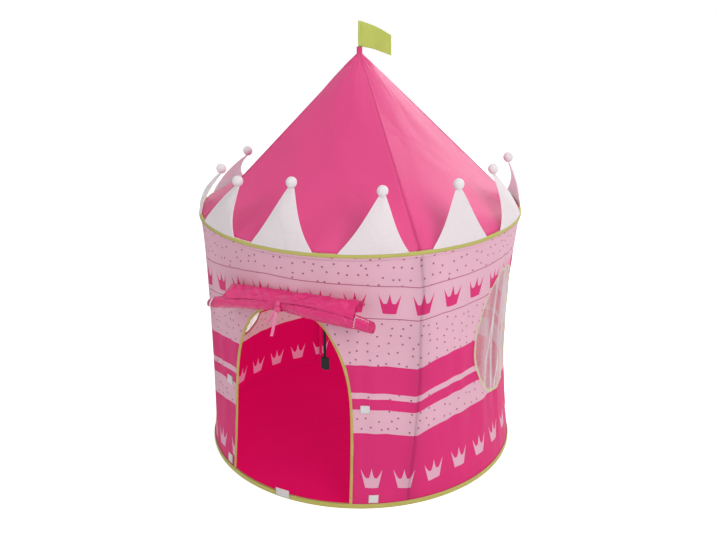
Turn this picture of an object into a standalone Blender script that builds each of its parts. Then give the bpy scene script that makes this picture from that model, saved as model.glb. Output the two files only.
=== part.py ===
"""A child's round play tent, shaped like a castle turret with a pointed roof.

Two spring-steel hoops sewn into binding tapes hold the floor, the round wall and the roof's edge.
Four poles hold the hoops apart. Each has a lower and an upper wall section, joined at the knee by
a flexible sleeve, and a roof section that an elbow joins to the upper one. The roof sections meet
in a hub, whose mast carries a flag. The wall has an arched door with its flap rolled up over it,
and an oval net window on either side. Padded points stand round the roof like a crown.

The origin is the middle of the floor's underside. +Z is up and the door faces -Y.
Lengths are in metres and angles in radians.
"""

import math

import bmesh
import bpy
import numpy as np
from mathutils import Matrix, Vector

# The whole tent
tent_radius = 0.525
wall_height = 0.83
roof_height = 1.31
fit_gap = 0.0003
cut_overrun = 0.05
ring_steps = 48
panel_half = math.pi / 4

# Cloth, hoops and bindings
cloth_thickness = 0.0015
floor_thickness = 0.002
tape_thickness = 0.0015
binding_width = 0.016
binding_depth = 0.010
binding_shoulder_share = 0.55
hem_clearance = 0.0006
hoop_width = 0.005
hoop_thickness = 0.0015
seam_gap = 0.0004

# Wall
wall_columns = 24
wall_bays = 6
# How far each panel is drawn in from a round towards a flat wall, at the middle of its height
flatness_shares = {"front": 0.22, "right": 0.18, "back": 0.30, "left": 0.25}
crease_gap = 0.0028
fold_depth = 0.0035
folds_per_panel = 6

# Door and windows
door_half_width = 0.213
door_spring_height = 0.25
door_top_height = 0.635
door_narrowing_share = 0.09
door_arch_power = 0.8
# The doorway stands off the panel's middle, and its arch leans back towards it
door_offset = -0.0185
door_lean = 0.026
door_lean_power = 6
door_arch_steps = 20
window_half_width = 0.145
window_half_height = 0.208
window_middle_height = 0.468
window_steps = 28
edge_tape_width = 0.012
edge_tape_thickness = 0.0036
edge_tape_round_share = 0.3
net_columns = 6
net_rows = 8
net_thickness = 0.001
net_strand = 0.003
net_ribbon = 0.009
net_margin = 0.0004

# Poles
pole_radius = 0.004
pole_bore_radius = 0.0028
pole_setback = 0.022
pole_sides = 10
fold_angle = math.radians(78)
foot_tip_radius = 0.005
foot_cap_height = 0.012
sleeve_radius = 0.0065
sleeve_bore_radius = 0.0048
sleeve_grip = 0.018
sleeve_lip_share = 0.85
pocket_half_width = 0.0155
pocket_half_depth = 0.008
pocket_height = 0.045
pocket_taper_share = 0.85

# Roof
roof_edge_inset = 0.003
roof_tip_radius = 0.0075
roof_neck_height = 0.022
roof_columns = 12
roof_rows = 8
roof_flat_share = 0.66
roof_round_from_share = 0.92
hub_radius = 0.032
hub_rim = 0.017
hub_clearance = 0.0008
hub_socket_depth = 0.011
spigot_radius = 0.0062
mast_radius = 0.0025
mast_height = 1.41

# Crown points
crown_count = 12
crown_length = 0.165
crown_half_width = 0.100
crown_tip_half_width = 0.008
crown_edge_thickness = 0.003
crown_padding = 0.009
crown_ball_radius = 0.016
crown_ball_seat_share = 0.8
crown_columns = 4
crown_rows = 5
# Inward lean and sideways slip of each point's tip, as shares of its length, from the +X one round
crown_lean_shares = (0.41, 0.27, 0.62, 0.30, 0.30, 0.45, 0.66, 0.45, 0.27, 0.36, 0.21, 0.05)
crown_slip_shares = (-0.08, -0.42, 0.58, 0.08, -0.05, -0.24, 0.21, 0.50, 0.42, 0.08, 0.18, -0.09)

# Flag
flag_length = 0.096
flag_height = 0.078
flag_end_height = 0.063
flag_droop = 0.034
flag_wave = 0.008
flag_columns = 8
flag_facing = math.radians(20)
flag_sleeve_wall = 0.0015
flag_turning_gap = 0.0004

# Rolled door flap and its tie
roll_half_length = 0.285
roll_radius = 0.024
roll_middle_height = 0.661
roll_droop = 0.040
roll_tilt_share = 0.045
roll_bow = 0.02
roll_seam_height = 0.699
roll_seam_droop = 0.057
roll_lip_thickness = 0.005
roll_crumple_share = 0.10
roll_pinch_share = 0.72
roll_wall_gap = 0.0028
roll_sides = 11
# Where the roll's sections lie, how thick each is, and how much of the lip it has
roll_place_shares = (-0.93, -0.90, -0.83, -0.79, -0.58, -0.42, -0.26, -0.12, -0.035,
                     0.035, 0.12, 0.26, 0.42, 0.58, 0.70, 0.745, 0.90, 1.0)
roll_girth_shares = (0.42, 0.62, 0.76, 0.80, 0.88, 0.92, 0.90, 0.80, 0.72,
                     0.72, 0.90, 1.10, 1.18, 1.12, 1.06, 1.02, 0.86, 0.74)
roll_lip_shares = (0.0, 0.0, 0.0, 1.0, 1.0, 1.0, 1.0, 0.8, 0.0,
                   0.0, 0.8, 1.0, 1.0, 1.0, 1.0, 1.0, 0.0, 0.0)
tie_width = 0.009
tie_thickness = 0.0012
tie_tail = 0.070
tie_spread = 0.011
tie_turn = math.radians(330)
tie_steps = 14

# Storage strap and its buckle
strap_width = 0.0085
strap_thickness = 0.0012
strap_offset = 0.112
strap_top_drop = 0.008
strap_bend_height = 0.602
strap_end_height = 0.452
strap_wall_gap = 0.0073
strap_tail = 0.002
buckle_width = 0.025
buckle_height = 0.039
buckle_thickness = 0.007
buckle_round = 0.0018
buckle_slot_gap = 0.0004

# Sizes that follow
pole_circle_radius = tent_radius - pole_setback
hem_radius = tent_radius - binding_depth / 2
hem_inner = hem_radius - cloth_thickness / 2
binding_inner = tent_radius - binding_depth
hem_low = tape_thickness + hoop_width + 2 * fit_gap
hem_high = wall_height - hem_low
lip_high = wall_height - binding_width
wall_mid_corner = pole_circle_radius + sleeve_radius + crease_gap
roof_edge_radius = hem_inner - roof_edge_inset
roof_edge_height = wall_height + fit_gap
roof_slope = math.atan2(roof_height - roof_edge_height, roof_edge_radius - roof_tip_radius)
foot_height = floor_thickness + fit_gap + foot_tip_radius
elbow_depth = sleeve_radius + 2 * fit_gap
edge_to_pole = (roof_edge_radius - pole_circle_radius) * math.sin(roof_slope)
head_height = roof_edge_height - (elbow_depth - edge_to_pole) / math.cos(roof_slope)
knee_height = (foot_height + head_height) / 2
knee_setback = pole_radius / math.cos(fold_angle) + fit_gap
head_setback = pole_radius / math.sin((math.pi / 2 - fold_angle + roof_slope) / 2) + fit_gap
pole_azimuths = [-panel_half + k * 2 * panel_half for k in range(4)]
facings = {"front": -math.pi / 2, "right": 0.0, "back": math.pi / 2, "left": math.pi}
sides = list(facings)

for old in list(bpy.data.objects):
    bpy.data.objects.remove(old, do_unlink=True)


def new_collection(name):
    made = bpy.data.collections.new(name)
    bpy.context.scene.collection.children.link(made)
    return made


tent = new_collection("play_tent")
cutters = new_collection("cutters")
cutters.hide_render = True


def finish_of(name, color, roughness, metallic=0.0):
    """A plain material with a colour, a roughness and a metallic value."""
    made = bpy.data.materials.new(name)
    made.use_nodes = True
    shader = made.node_tree.nodes["Principled BSDF"]
    shader.inputs["Base Color"].default_value = (*color, 1.0)
    shader.inputs["Roughness"].default_value = roughness
    shader.inputs["Metallic"].default_value = metallic
    made.diffuse_color = (*color, 1.0)
    return made


hot_pink = finish_of("hot_pink_cloth", (0.73, 0.08, 0.24), 0.75)
print_pink = finish_of("printed_cloth", (0.72, 0.30, 0.45), 0.8)
floor_pink = finish_of("floor_cloth", (0.55, 0.02, 0.13), 0.7)
satin_pink = finish_of("flap_satin", (0.78, 0.06, 0.26), 0.45)
lime_tape = finish_of("lime_tape", (0.55, 0.60, 0.10), 0.7)
net_white = finish_of("window_net", (0.86, 0.86, 0.84), 0.85)
crown_white = finish_of("crown_cloth", (0.87, 0.80, 0.82), 0.85)
spring_steel = finish_of("spring_steel", (0.45, 0.46, 0.48), 0.35, 0.9)
pole_grey = finish_of("pole_fibreglass", (0.80, 0.80, 0.78), 0.45)
black_plastic = finish_of("black_plastic", (0.02, 0.02, 0.022), 0.4)
black_webbing = finish_of("black_webbing", (0.025, 0.025, 0.028), 0.85)


def add(name, mesh, material, collection=tent):
    made = bpy.data.objects.new(name, mesh)
    collection.objects.link(made)
    made.data.materials.append(material)
    return made


def mesh_of(name, bm):
    """The finished mesh of a bmesh, faces outwards and round faces shaded smooth."""
    bmesh.ops.recalc_face_normals(bm, faces=bm.faces[:])
    mesh = bpy.data.meshes.new(name)
    bm.to_mesh(mesh)
    bm.free()
    mesh.shade_smooth()
    mesh.set_sharp_from_angle(angle=math.radians(40))
    return mesh


def sheet(name, columns, rows, place, material):
    """Cloth: a flat grid with a second face behind it, whose points place(u, v, w) sets in space."""
    bm = bmesh.new()
    bmesh.ops.create_grid(bm, x_segments=columns, y_segments=rows, size=1)
    bmesh.ops.solidify(bm, geom=bm.faces[:], thickness=1)
    for vert in bm.verts:
        vert.co = place((vert.co.x + 1) / 2, (vert.co.y + 1) / 2, min(abs(vert.co.z), 1))
    return add(name, mesh_of(name, bm), material)


def loft(name, rings, closed, material):
    """A skin over sections that change shape along the piece."""
    bm = bmesh.new()
    loops = [[bm.verts.new(point) for point in ring] for ring in rings]
    ahead = loops[1:] + loops[:1] if closed else loops[1:]
    for near, far in zip(loops, ahead):
        for i in range(len(near)):
            j = (i + 1) % len(near)
            bm.faces.new((near[i], near[j], far[j], far[i]))
    if not closed:
        bm.faces.new(loops[0])
        bm.faces.new(loops[-1])
    return add(name, mesh_of(name, bm), material)


def turned(name, profile, steps, material, closed=True, collection=tent):
    """A profile of (radius, height) points, down its outer side, turned about the upright axis."""
    mesh = bpy.data.meshes.new(name)
    count = len(profile)
    edges = [(i, (i + 1) % count) for i in range(count if closed else count - 1)]
    mesh.from_pydata([(radius, 0, height) for radius, height in profile], edges, [])
    made = add(name, mesh, material, collection)
    turn = made.modifiers.new("turn", "SCREW")
    turn.steps = steps
    turn.render_steps = steps
    turn.use_merge_vertices = True
    turn.merge_threshold = 0.00005
    turn.use_smooth_shade = False
    return made


def settled(made):
    """The object with its modifiers made part of its mesh."""
    bpy.context.view_layer.update()
    graph = bpy.context.evaluated_depsgraph_get()
    mesh = bpy.data.meshes.new_from_object(made.evaluated_get(graph))
    made.modifiers.clear()
    made.data = mesh
    return made


def combine(made, other, operation):
    """Cuts another solid out of the object, or joins it on. The other solid is used up."""
    step = made.modifiers.new(operation.lower(), "BOOLEAN")
    step.operation = operation
    step.solver = "EXACT"
    step.object = other
    settled(made)
    bpy.data.objects.remove(other, do_unlink=True)
    return made


def at(azimuth, radius, height):
    return Vector((radius * math.cos(azimuth), radius * math.sin(azimuth), height))


def around(azimuth, middle, lateral, height):
    """A point of a panel: out along its facing, aside to its left as seen from the axis, and up."""
    out = Vector((math.cos(azimuth), math.sin(azimuth), 0))
    aside = Vector((-math.sin(azimuth), math.cos(azimuth), 0))
    return out * middle + aside * lateral + Vector((0, 0, height))


def ring_share(azimuth, steps=ring_steps):
    """How far a ring of flat facets lies out at this azimuth, as a share of its corners."""
    half = math.pi / steps
    return math.cos(half) / math.cos(azimuth % (2 * half) - half)


# The wall's shape, which everything that is sewn to it follows
bay = (lip_high - binding_width) / wall_bays
wall_rows = [hem_low] + [binding_width + bay * k for k in range(wall_bays + 1)] + [hem_high]
row_swells = [0.0] + [math.sin(math.pi * k / wall_bays) for k in range(wall_bays + 1)] + [0.0]


def wall_radius(azimuth, height):
    """From the axis to the wall's inner face: round in the hems, drawn flat between the poles."""
    off_middle = (azimuth + panel_half) % (2 * panel_half) - panel_half
    flat = math.cos(panel_half) / math.cos(off_middle) - 1
    across = math.sin(math.pi * (off_middle + panel_half) / panel_half * folds_per_panel)
    uneven = math.cos(3 * off_middle) * math.cos(2 * off_middle)
    side = sides[int((azimuth + 3 * panel_half) // (2 * panel_half)) % len(sides)]
    middle = wall_mid_corner * (1 + flatness_shares[side] * flat) + fold_depth * across * uneven
    hem = hem_inner * ring_share(azimuth)
    return hem + (middle - hem) * float(np.interp(height, wall_rows, row_swells))


def wall_out(facing, lateral, height):
    """How far out the faceted wall's inner face lies, at an offset aside from the panel's middle."""
    steps = [(2 * k / wall_columns - 1) * panel_half for k in range(wall_columns + 1)]
    radii = [wall_radius(facing + step, height) for step in steps]
    aside = [radius * math.sin(step) for radius, step in zip(radii, steps)]
    out = [radius * math.cos(step) for radius, step in zip(radii, steps)]
    return float(np.interp(lateral, aside, out))


# Floor
def make_floor():
    bm = bmesh.new()
    radius = binding_inner - 2 * fit_gap
    bmesh.ops.create_cone(
        bm, cap_ends=True, segments=ring_steps, radius1=radius, radius2=radius, depth=floor_thickness
    )
    bmesh.ops.translate(bm, verts=bm.verts[:], vec=(0, 0, floor_thickness / 2))
    return add("floor", mesh_of("floor", bm), floor_pink)


# Hoops in their bindings
def binding_profile():
    """A folded tape with its closed edge at height 0 and lips that grip the cloth's hem."""
    grip_out = hem_radius + cloth_thickness / 2 + hem_clearance
    grip_in = hem_radius - cloth_thickness / 2 - hem_clearance
    shoulder = binding_width * binding_shoulder_share
    return [
        (grip_out + tape_thickness, binding_width),
        (tent_radius, shoulder),
        (tent_radius, 0),
        (binding_inner, 0),
        (binding_inner, shoulder),
        (grip_in - tape_thickness, binding_width),
        (grip_in, binding_width),
        (binding_inner + tape_thickness, shoulder),
        (binding_inner + tape_thickness, tape_thickness),
        (tent_radius - tape_thickness, tape_thickness),
        (tent_radius - tape_thickness, shoulder),
        (grip_out, binding_width),
    ]


def hoop_profile():
    low = tape_thickness + fit_gap
    outer = hem_radius + hoop_thickness / 2
    inner = hem_radius - hoop_thickness / 2
    return [(outer, low + hoop_width), (outer, low), (inner, low), (inner, low + hoop_width)]


def hung(profile):
    """The same profile upside down, with its closed edge at the top of the wall."""
    return [(radius, wall_height - height) for radius, height in reversed(profile)]


# Wall panels with their openings and edge tapes
def wall_panel(side):
    facing = facings[side]
    reach = panel_half - seam_gap / hem_inner

    def place(u, v, w):
        step = max(-reach, min(reach, (2 * u - 1) * panel_half))
        height = wall_rows[round(v * (len(wall_rows) - 1))]
        return at(facing + step, wall_radius(facing + step, height) + w * cloth_thickness, height)

    return sheet(f"wall_{side}", wall_columns, len(wall_rows) - 1, place, print_pink)


def door_outline():
    """The clear opening's edge from one foot over the arch to the other, as (aside, up) points."""
    rise = door_top_height - door_spring_height
    foot = binding_width + fit_gap
    uprights = [foot, (foot + door_spring_height) / 2]
    line = [(-1, up) for up in uprights]
    for k in range(door_arch_steps + 1):
        turn = math.pi * k / door_arch_steps
        across = -math.copysign(abs(math.cos(turn)) ** door_arch_power, math.cos(turn))
        line.append((across, door_spring_height + rise * abs(math.sin(turn)) ** door_arch_power))
    line += [(1, up) for up in reversed(uprights)]
    outline = []
    for across, up in line:
        share = up / door_top_height
        half = door_half_width * (1 - door_narrowing_share * share)
        outline.append((door_offset + door_lean * share**door_lean_power + across * half, up))
    return outline


def window_outline():
    turns = [-2 * math.pi * k / window_steps for k in range(window_steps)]
    return [
        (window_half_width * math.cos(turn), window_middle_height + window_half_height * math.sin(turn))
        for turn in turns
    ]


def widened(outline, distance, closed):
    """The outline moved outwards, square to its own line at each point."""
    count = len(outline)
    moved = []
    for i, (x, y) in enumerate(outline):
        before = outline[i - 1] if closed or i > 0 else outline[i]
        after = outline[(i + 1) % count] if closed or i < count - 1 else outline[i]
        along = Vector((after[0] - before[0], after[1] - before[1])).normalized()
        moved.append((x - along.y * distance, y + along.x * distance))
    return moved


def opening_cutter(name, outline, facing):
    """A prism of the outline that runs through the wall it faces."""
    curve = bpy.data.curves.new(name, "CURVE")
    curve.dimensions = "2D"
    curve.fill_mode = "BOTH"
    curve.extrude = tent_radius / 2
    line = curve.splines.new("POLY")
    line.points.add(len(outline) - 1)
    for point, (x, y) in zip(line.points, outline):
        point.co = (x, y, 0, 1)
    line.use_cyclic_u = True
    drawn = bpy.data.objects.new(name + "_outline", curve)
    cutters.objects.link(drawn)
    turn = Matrix.Rotation(facing + math.pi / 2, 4, "Z") @ Matrix.Rotation(math.pi / 2, 4, "X")
    drawn.matrix_world = Matrix.Translation(at(facing, tent_radius, 0)) @ turn
    bpy.context.view_layer.update()
    graph = bpy.context.evaluated_depsgraph_get()
    mesh = bpy.data.meshes.new_from_object(drawn.evaluated_get(graph))
    bm = bmesh.new()
    bm.from_mesh(mesh)
    bmesh.ops.remove_doubles(bm, verts=bm.verts[:], dist=fit_gap / 10)
    bmesh.ops.recalc_face_normals(bm, faces=bm.faces[:])
    bm.to_mesh(mesh)
    bm.free()
    made = bpy.data.objects.new(name, mesh)
    made.matrix_world = drawn.matrix_world
    cutters.objects.link(made)
    made.display_type = "WIRE"
    made.hide_render = True
    bpy.data.objects.remove(drawn, do_unlink=True)
    return made


def edge_tape(name, outline, closed, facing):
    """Tape folded over an opening's edge: it fills the strip between the cut cloth and the opening."""
    proud = (edge_tape_thickness - cloth_thickness) / 2
    low, high = -proud, cloth_thickness + proud
    soft = edge_tape_round_share * edge_tape_thickness
    section = [
        (soft, low),
        (edge_tape_width, low),
        (edge_tape_width, high),
        (soft, high),
        (0, high - soft),
        (0, low + soft),
    ]
    edges = {across: widened(outline, across, closed) for across, _ in section}
    rings = []
    for i in range(len(outline)):
        ring = []
        for across, depth in section:
            aside, up = edges[across][i]
            ring.append(around(facing, wall_out(facing, aside, up) + depth, aside, up))
        rings.append(ring)
    return loft(name, rings, closed, lime_tape)


def window_net(name, facing):
    """Open net inside the window's tape, with a flat ribbon cross, shaped to the wall."""
    half_width = window_half_width - net_margin
    half_height = window_half_height - net_margin
    bm = bmesh.new()
    bmesh.ops.create_grid(bm, x_segments=net_columns + 1, y_segments=net_rows + 1, size=1)

    def line_place(value, count, half):
        """Even net lines, with a band as wide as the ribbon in the middle."""
        index = round((value + 1) / 2 * (count + 1)) - (count + 1) / 2
        band = net_ribbon / 2 / half
        bays = abs(index) - 0.5
        return math.copysign(band + bays * (1 - band) / (count / 2), index)

    ribbon_faces = set()
    for face in bm.faces:
        middle = face.calc_center_median()
        if abs(middle.x) < 0.5 / (net_columns + 1) or abs(middle.y) < 0.5 / (net_rows + 1):
            ribbon_faces.add(face)
    for vert in bm.verts:
        x = line_place(vert.co.x, net_columns, half_width)
        y = line_place(vert.co.y, net_rows, half_height)
        round_x, round_y = x * math.sqrt(1 - y * y / 2), y * math.sqrt(1 - x * x / 2)
        facet = ring_share(math.atan2(round_y, round_x), window_steps)
        vert.co.x = round_x * facet * half_width
        vert.co.y = round_y * facet * half_height
    bays = [face for face in bm.faces if face not in ribbon_faces]
    bmesh.ops.inset_individual(bm, faces=bays, thickness=net_strand / 2)
    bmesh.ops.delete(bm, geom=bays, context="FACES")
    bmesh.ops.solidify(bm, geom=bm.faces[:], thickness=1)
    for vert in bm.verts:
        aside, up = vert.co.x, window_middle_height + vert.co.y
        deep = (cloth_thickness - net_thickness) / 2 + min(abs(vert.co.z), 1) * net_thickness
        vert.co = around(facing, wall_out(facing, aside, up) + deep, aside, up)
    return add(name, mesh_of(name, bm), net_white)


# Poles
def tube(name, low, high, place, material):
    """A length of pole between two heights along its own axis, with its open bore."""
    profile = [(pole_radius, high), (pole_radius, low), (pole_bore_radius, low), (pole_bore_radius, high)]
    made = turned(name, profile, pole_sides, material)
    made.matrix_world = place
    return made


def lower_pole(name, azimuth):
    """The lower wall section, with a round foot centred on its pivot."""
    top = knee_height - foot_height - knee_setback
    arc = [math.radians(-22.5 * k) for k in range(4)]
    profile = [(0, foot_cap_height), (pole_bore_radius, foot_cap_height), (pole_bore_radius, top)]
    profile += [(pole_radius, top), (pole_radius, foot_cap_height), (foot_tip_radius, foot_cap_height)]
    profile += [(foot_tip_radius * math.cos(a), foot_tip_radius * math.sin(a)) for a in arc]
    profile += [(0, -foot_tip_radius)]
    made = turned(name, profile, pole_sides, pole_grey, closed=False)
    made.location = at(azimuth, pole_circle_radius, foot_height)
    return made


def knee_sleeve(name, azimuth):
    reach = knee_setback + sleeve_grip
    lip = sleeve_radius * sleeve_lip_share
    shoulder = reach - sleeve_radius
    profile = [(lip, reach), (sleeve_radius, shoulder), (sleeve_radius, -shoulder), (lip, -reach)]
    profile += [(sleeve_bore_radius, -reach), (sleeve_bore_radius, reach)]
    made = turned(name, profile, pole_sides, black_plastic)
    made.location = at(azimuth, pole_circle_radius, knee_height)
    return made


def roof_frame(azimuth):
    """Places a roof pole: its foot on the head pivot and its length up along the roof's slope."""
    lean = Matrix.Rotation(azimuth, 4, "Z") @ Matrix.Rotation(roof_slope - math.pi / 2, 4, "Y")
    return Matrix.Translation(at(azimuth, pole_circle_radius, head_height)) @ lean


def elbow(name, azimuth):
    """Flexible tube round the bend at the eaves, open at both ends."""
    inward = Vector((-math.cos(azimuth), -math.sin(azimuth), 0))
    up_roof = inward * math.cos(roof_slope) + Vector((0, 0, math.sin(roof_slope)))
    down = Vector((0, 0, -1))
    reach = head_setback + sleeve_grip
    shares = (0.0, 0.25, 0.5, 0.75, 1.0)
    bend = [down * head_setback * (1 - t) ** 2 + up_roof * head_setback * t**2 for t in shares]
    points = [down * reach] + bend + [up_roof * reach]
    curve = bpy.data.curves.new(name, "CURVE")
    curve.dimensions = "3D"
    curve.bevel_depth = sleeve_radius
    curve.bevel_resolution = 2
    curve.use_fill_caps = False
    line = curve.splines.new("POLY")
    line.points.add(len(points) - 1)
    for point, place in zip(line.points, points):
        point.co = (*place, 1)
    curve.materials.append(black_plastic)
    made = bpy.data.objects.new(name, curve)
    tent.objects.link(made)
    made.location = at(azimuth, pole_circle_radius, head_height)
    wall = made.modifiers.new("wall", "SOLIDIFY")
    wall.thickness = sleeve_radius - sleeve_bore_radius
    wall.offset = -1
    return made


def pole_pocket(name, azimuth):
    """The sewn pocket that a pole's foot stands in, on the floor inside the wall."""
    bottom = floor_thickness + fit_gap
    bm = bmesh.new()
    bmesh.ops.create_cone(
        bm, cap_ends=True, segments=16, radius1=1, radius2=pocket_taper_share, depth=pocket_height
    )
    bmesh.ops.scale(bm, vec=(pocket_half_depth, pocket_half_width, 1), verts=bm.verts[:])
    made = add(name, mesh_of(name, bm), black_webbing)
    bore = foot_tip_radius + fit_gap
    high = pocket_height / 2 + cut_overrun
    cutter = turned(name + "_bore", [(0, high), (bore, high), (bore, -high), (0, -high)],
                    pole_sides, black_webbing, closed=False, collection=cutters)
    settled(cutter)
    combine(made, cutter, "DIFFERENCE")
    made.rotation_euler.z = azimuth
    made.location = at(azimuth, pole_circle_radius, bottom + pocket_height / 2)
    return made


# Roof
def roof_gore(side):
    """A quarter of the roof: round on the hoop, flat between two poles, round again on the hub."""
    facing = facings[side]
    normal_out, normal_up = math.sin(roof_slope), math.cos(roof_slope)

    def place(u, v, w):
        row = round(v * (roof_rows + 1))
        along = min(row / roof_rows, 1)
        ridge = roof_edge_radius + (roof_tip_radius - roof_edge_radius) * along
        reach = panel_half - math.asin(seam_gap / ridge)
        step = max(-reach, min(reach, (2 * u - 1) * panel_half))
        drawn = math.sin(math.pi * min(along / roof_round_from_share, 1)) * roof_flat_share
        flat = 1 + drawn * (math.cos(panel_half) / math.cos(step) - 1)
        facet = ring_share(facing + step) * (1 - along) + along
        height = roof_edge_height + (roof_height - roof_edge_height) * along
        if row > roof_rows:
            return at(facing + step, ridge + w * cloth_thickness, roof_height + roof_neck_height)
        out = w * cloth_thickness * normal_out
        return at(facing + step, ridge * flat * facet + out, height + w * cloth_thickness * normal_up)

    return sheet(f"roof_gore_{side}", roof_columns, roof_rows + 1, place, hot_pink)


def roof_line(radius):
    """Height of the roof cloth's inner face over a pole, at a distance from the axis."""
    return roof_height - (radius - roof_tip_radius) * math.tan(roof_slope)


def make_hub():
    """The turned hub under the roof's tip, with a socket for each roof pole and the flag's mast."""
    under = hub_clearance / math.cos(roof_slope)
    shoulder = roof_height + roof_neck_height + fit_gap
    rim = roof_line(hub_radius) - under
    profile = [
        (0, mast_height),
        (mast_radius, mast_height),
        (mast_radius, shoulder),
        (spigot_radius, shoulder),
        (spigot_radius, roof_line(roof_tip_radius) - under),
        (hub_radius, rim),
        (hub_radius, rim - hub_rim),
        (0, rim - hub_rim),
    ]
    hub = settled(turned("apex_hub", profile, 24, black_plastic, closed=False))
    socket = pole_radius + fit_gap
    for azimuth in pole_azimuths:
        low = roof_pole_length() - hub_socket_depth - cut_overrun
        high = roof_pole_length() + fit_gap
        bore = turned("socket", [(0, high), (socket, high), (socket, low), (0, low)],
                      pole_sides, black_plastic, closed=False, collection=cutters)
        bore.matrix_world = roof_frame(azimuth)
        settled(bore)
        combine(hub, bore, "DIFFERENCE")
    return hub


def roof_pole_length():
    """From the head pivot to the bottom of the hub's socket."""
    return (pole_circle_radius - hub_radius) / math.cos(roof_slope) + hub_socket_depth


# Crown points
def crown_point(index):
    name = f"crown_point_{index + 1:02d}"
    azimuth = 2 * math.pi * index / crown_count
    middle = tent_radius - crown_edge_thickness
    lean = crown_lean_shares[index] * crown_length
    slip = crown_slip_shares[index] * crown_length
    upright = math.sqrt(1 - crown_slip_shares[index] ** 2)
    rise = (crown_length - lean * crown_lean_shares[index] / 2) * upright

    def place(u, v, w):
        across = 2 * u - 1
        half = crown_half_width * (1 - v) + crown_tip_half_width * v
        aside = across * half + slip * v * v
        padded = crown_padding * (1 - across * across) * math.sin(math.pi * (0.15 + 0.75 * v))
        if v == 0:
            padded = 0
        depth = (w - 0.5) * (crown_edge_thickness + padded)
        radius = middle - lean * (0.4 * v + 0.6 * v * v) + depth
        up = wall_height + fit_gap + v * rise
        return at(azimuth + aside / middle, radius, up)

    petal = sheet(name, crown_columns, crown_rows, place, crown_white)
    tip = (place(0.5, 1, 0) + place(0.5, 1, 1)) / 2
    bm = bmesh.new()
    bmesh.ops.create_uvsphere(bm, u_segments=8, v_segments=6, radius=crown_ball_radius)
    seat = Vector((0, 0, crown_ball_radius * crown_ball_seat_share))
    bmesh.ops.translate(bm, verts=bm.verts[:], vec=tip + seat)
    ball = add(name + "_ball", mesh_of(name + "_ball", bm), crown_white, cutters)
    return combine(petal, ball, "UNION")


# Flag
def make_flag():
    """A cloth flag whose sleeve turns on the hub's mast."""
    low = roof_height + roof_neck_height + 2 * fit_gap
    high = low + flag_height
    bore = mast_radius + flag_turning_gap
    outer = bore + flag_sleeve_wall
    profile = [(outer, high), (outer, low), (bore, low), (bore, high)]
    sleeve = settled(turned("flag", profile, 12, lime_tape))
    start = bore + flag_sleeve_wall / 2

    def place(u, v, w):
        out = start + u * flag_length
        height = flag_height + (flag_end_height - flag_height) * u
        droop = flag_droop * (0.55 * u + 0.45 * u * u)
        inset = fit_gap * (1 - u)
        up = low + inset + v * (height - 2 * inset) + (flag_height - height) * 0.5 - droop
        wave = flag_wave * math.sin(2 * math.pi * (u - 0.15 * v)) * u
        return around(flag_facing, out, wave + (w - 0.5) * cloth_thickness, up)

    cloth = sheet("flag_cloth", flag_columns, 2, place, lime_tape)
    return combine(sleeve, cloth, "UNION")


# Rolled door flap
def roll_middle(lateral):
    """Middle of the roll at an offset aside: how far out it lies, and how high."""
    clear = cloth_thickness + fold_depth + roll_radius * (1 + roll_crumple_share)
    out = wall_out(facings["front"], 0, roll_middle_height) + clear
    share = lateral / roll_half_length
    up = roll_middle_height + roll_tilt_share * lateral - roll_droop * share * share
    return out - roll_bow * share * share, up


def make_roll():
    """The door flap rolled up, drawn in by the tie, under the lip by which it hangs from its seam."""
    facing = facings["front"]
    rings = []
    for place, girth, lip in zip(roll_place_shares, roll_girth_shares, roll_lip_shares):
        lateral = place * roll_half_length
        out, up = roll_middle(lateral)
        radius = roll_radius * girth
        crumple = roll_crumple_share * min((girth - roll_pinch_share) / (1 - roll_pinch_share), 1)
        ring = []
        for k in range(roll_sides):
            turn = math.radians(60 - 300 * k / (roll_sides - 1))
            reach = radius * (1 + crumple * math.sin(3 * turn + 9 * place))
            ring.append((out + reach * math.cos(turn), up + reach * math.sin(turn)))
        seam_up = roll_seam_height + roll_tilt_share * lateral - roll_seam_droop * place * place
        seam = wall_out(facing, lateral, seam_up) + cloth_thickness + roll_wall_gap
        for turn, depth in ((100, 0), (80, roll_lip_thickness)):
            round_out = out + radius * math.cos(math.radians(turn))
            round_up = up + radius * math.sin(math.radians(turn))
            lip_out = round_out + (seam + depth - round_out) * lip
            ring.append((lip_out, round_up + (seam_up - round_up) * lip))
        rings.append([around(facing, point[0], lateral, point[1]) for point in ring])
    return loft("door_roll", rings, False, satin_pink)


def ribbon(name, path, width, thickness, facing, material):
    """A flat strip along a path of (aside, out, up) points, its width lying aside."""
    rings = []
    for i, (aside, out, up) in enumerate(path):
        before, after = path[max(i - 1, 0)], path[min(i + 1, len(path) - 1)]
        along = Vector((after[1] - before[1], after[2] - before[2])).normalized()
        face = Vector((along.y, -along.x)) * thickness / 2
        ring = []
        for edge, side in ((-1, -1), (1, -1), (1, 1), (-1, 1)):
            place = (out + face.x * side, aside + edge * width / 2, up + face.y * side)
            ring.append(around(facing, *place))
        rings.append(ring)
    return loft(name, rings, False, material)


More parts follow.
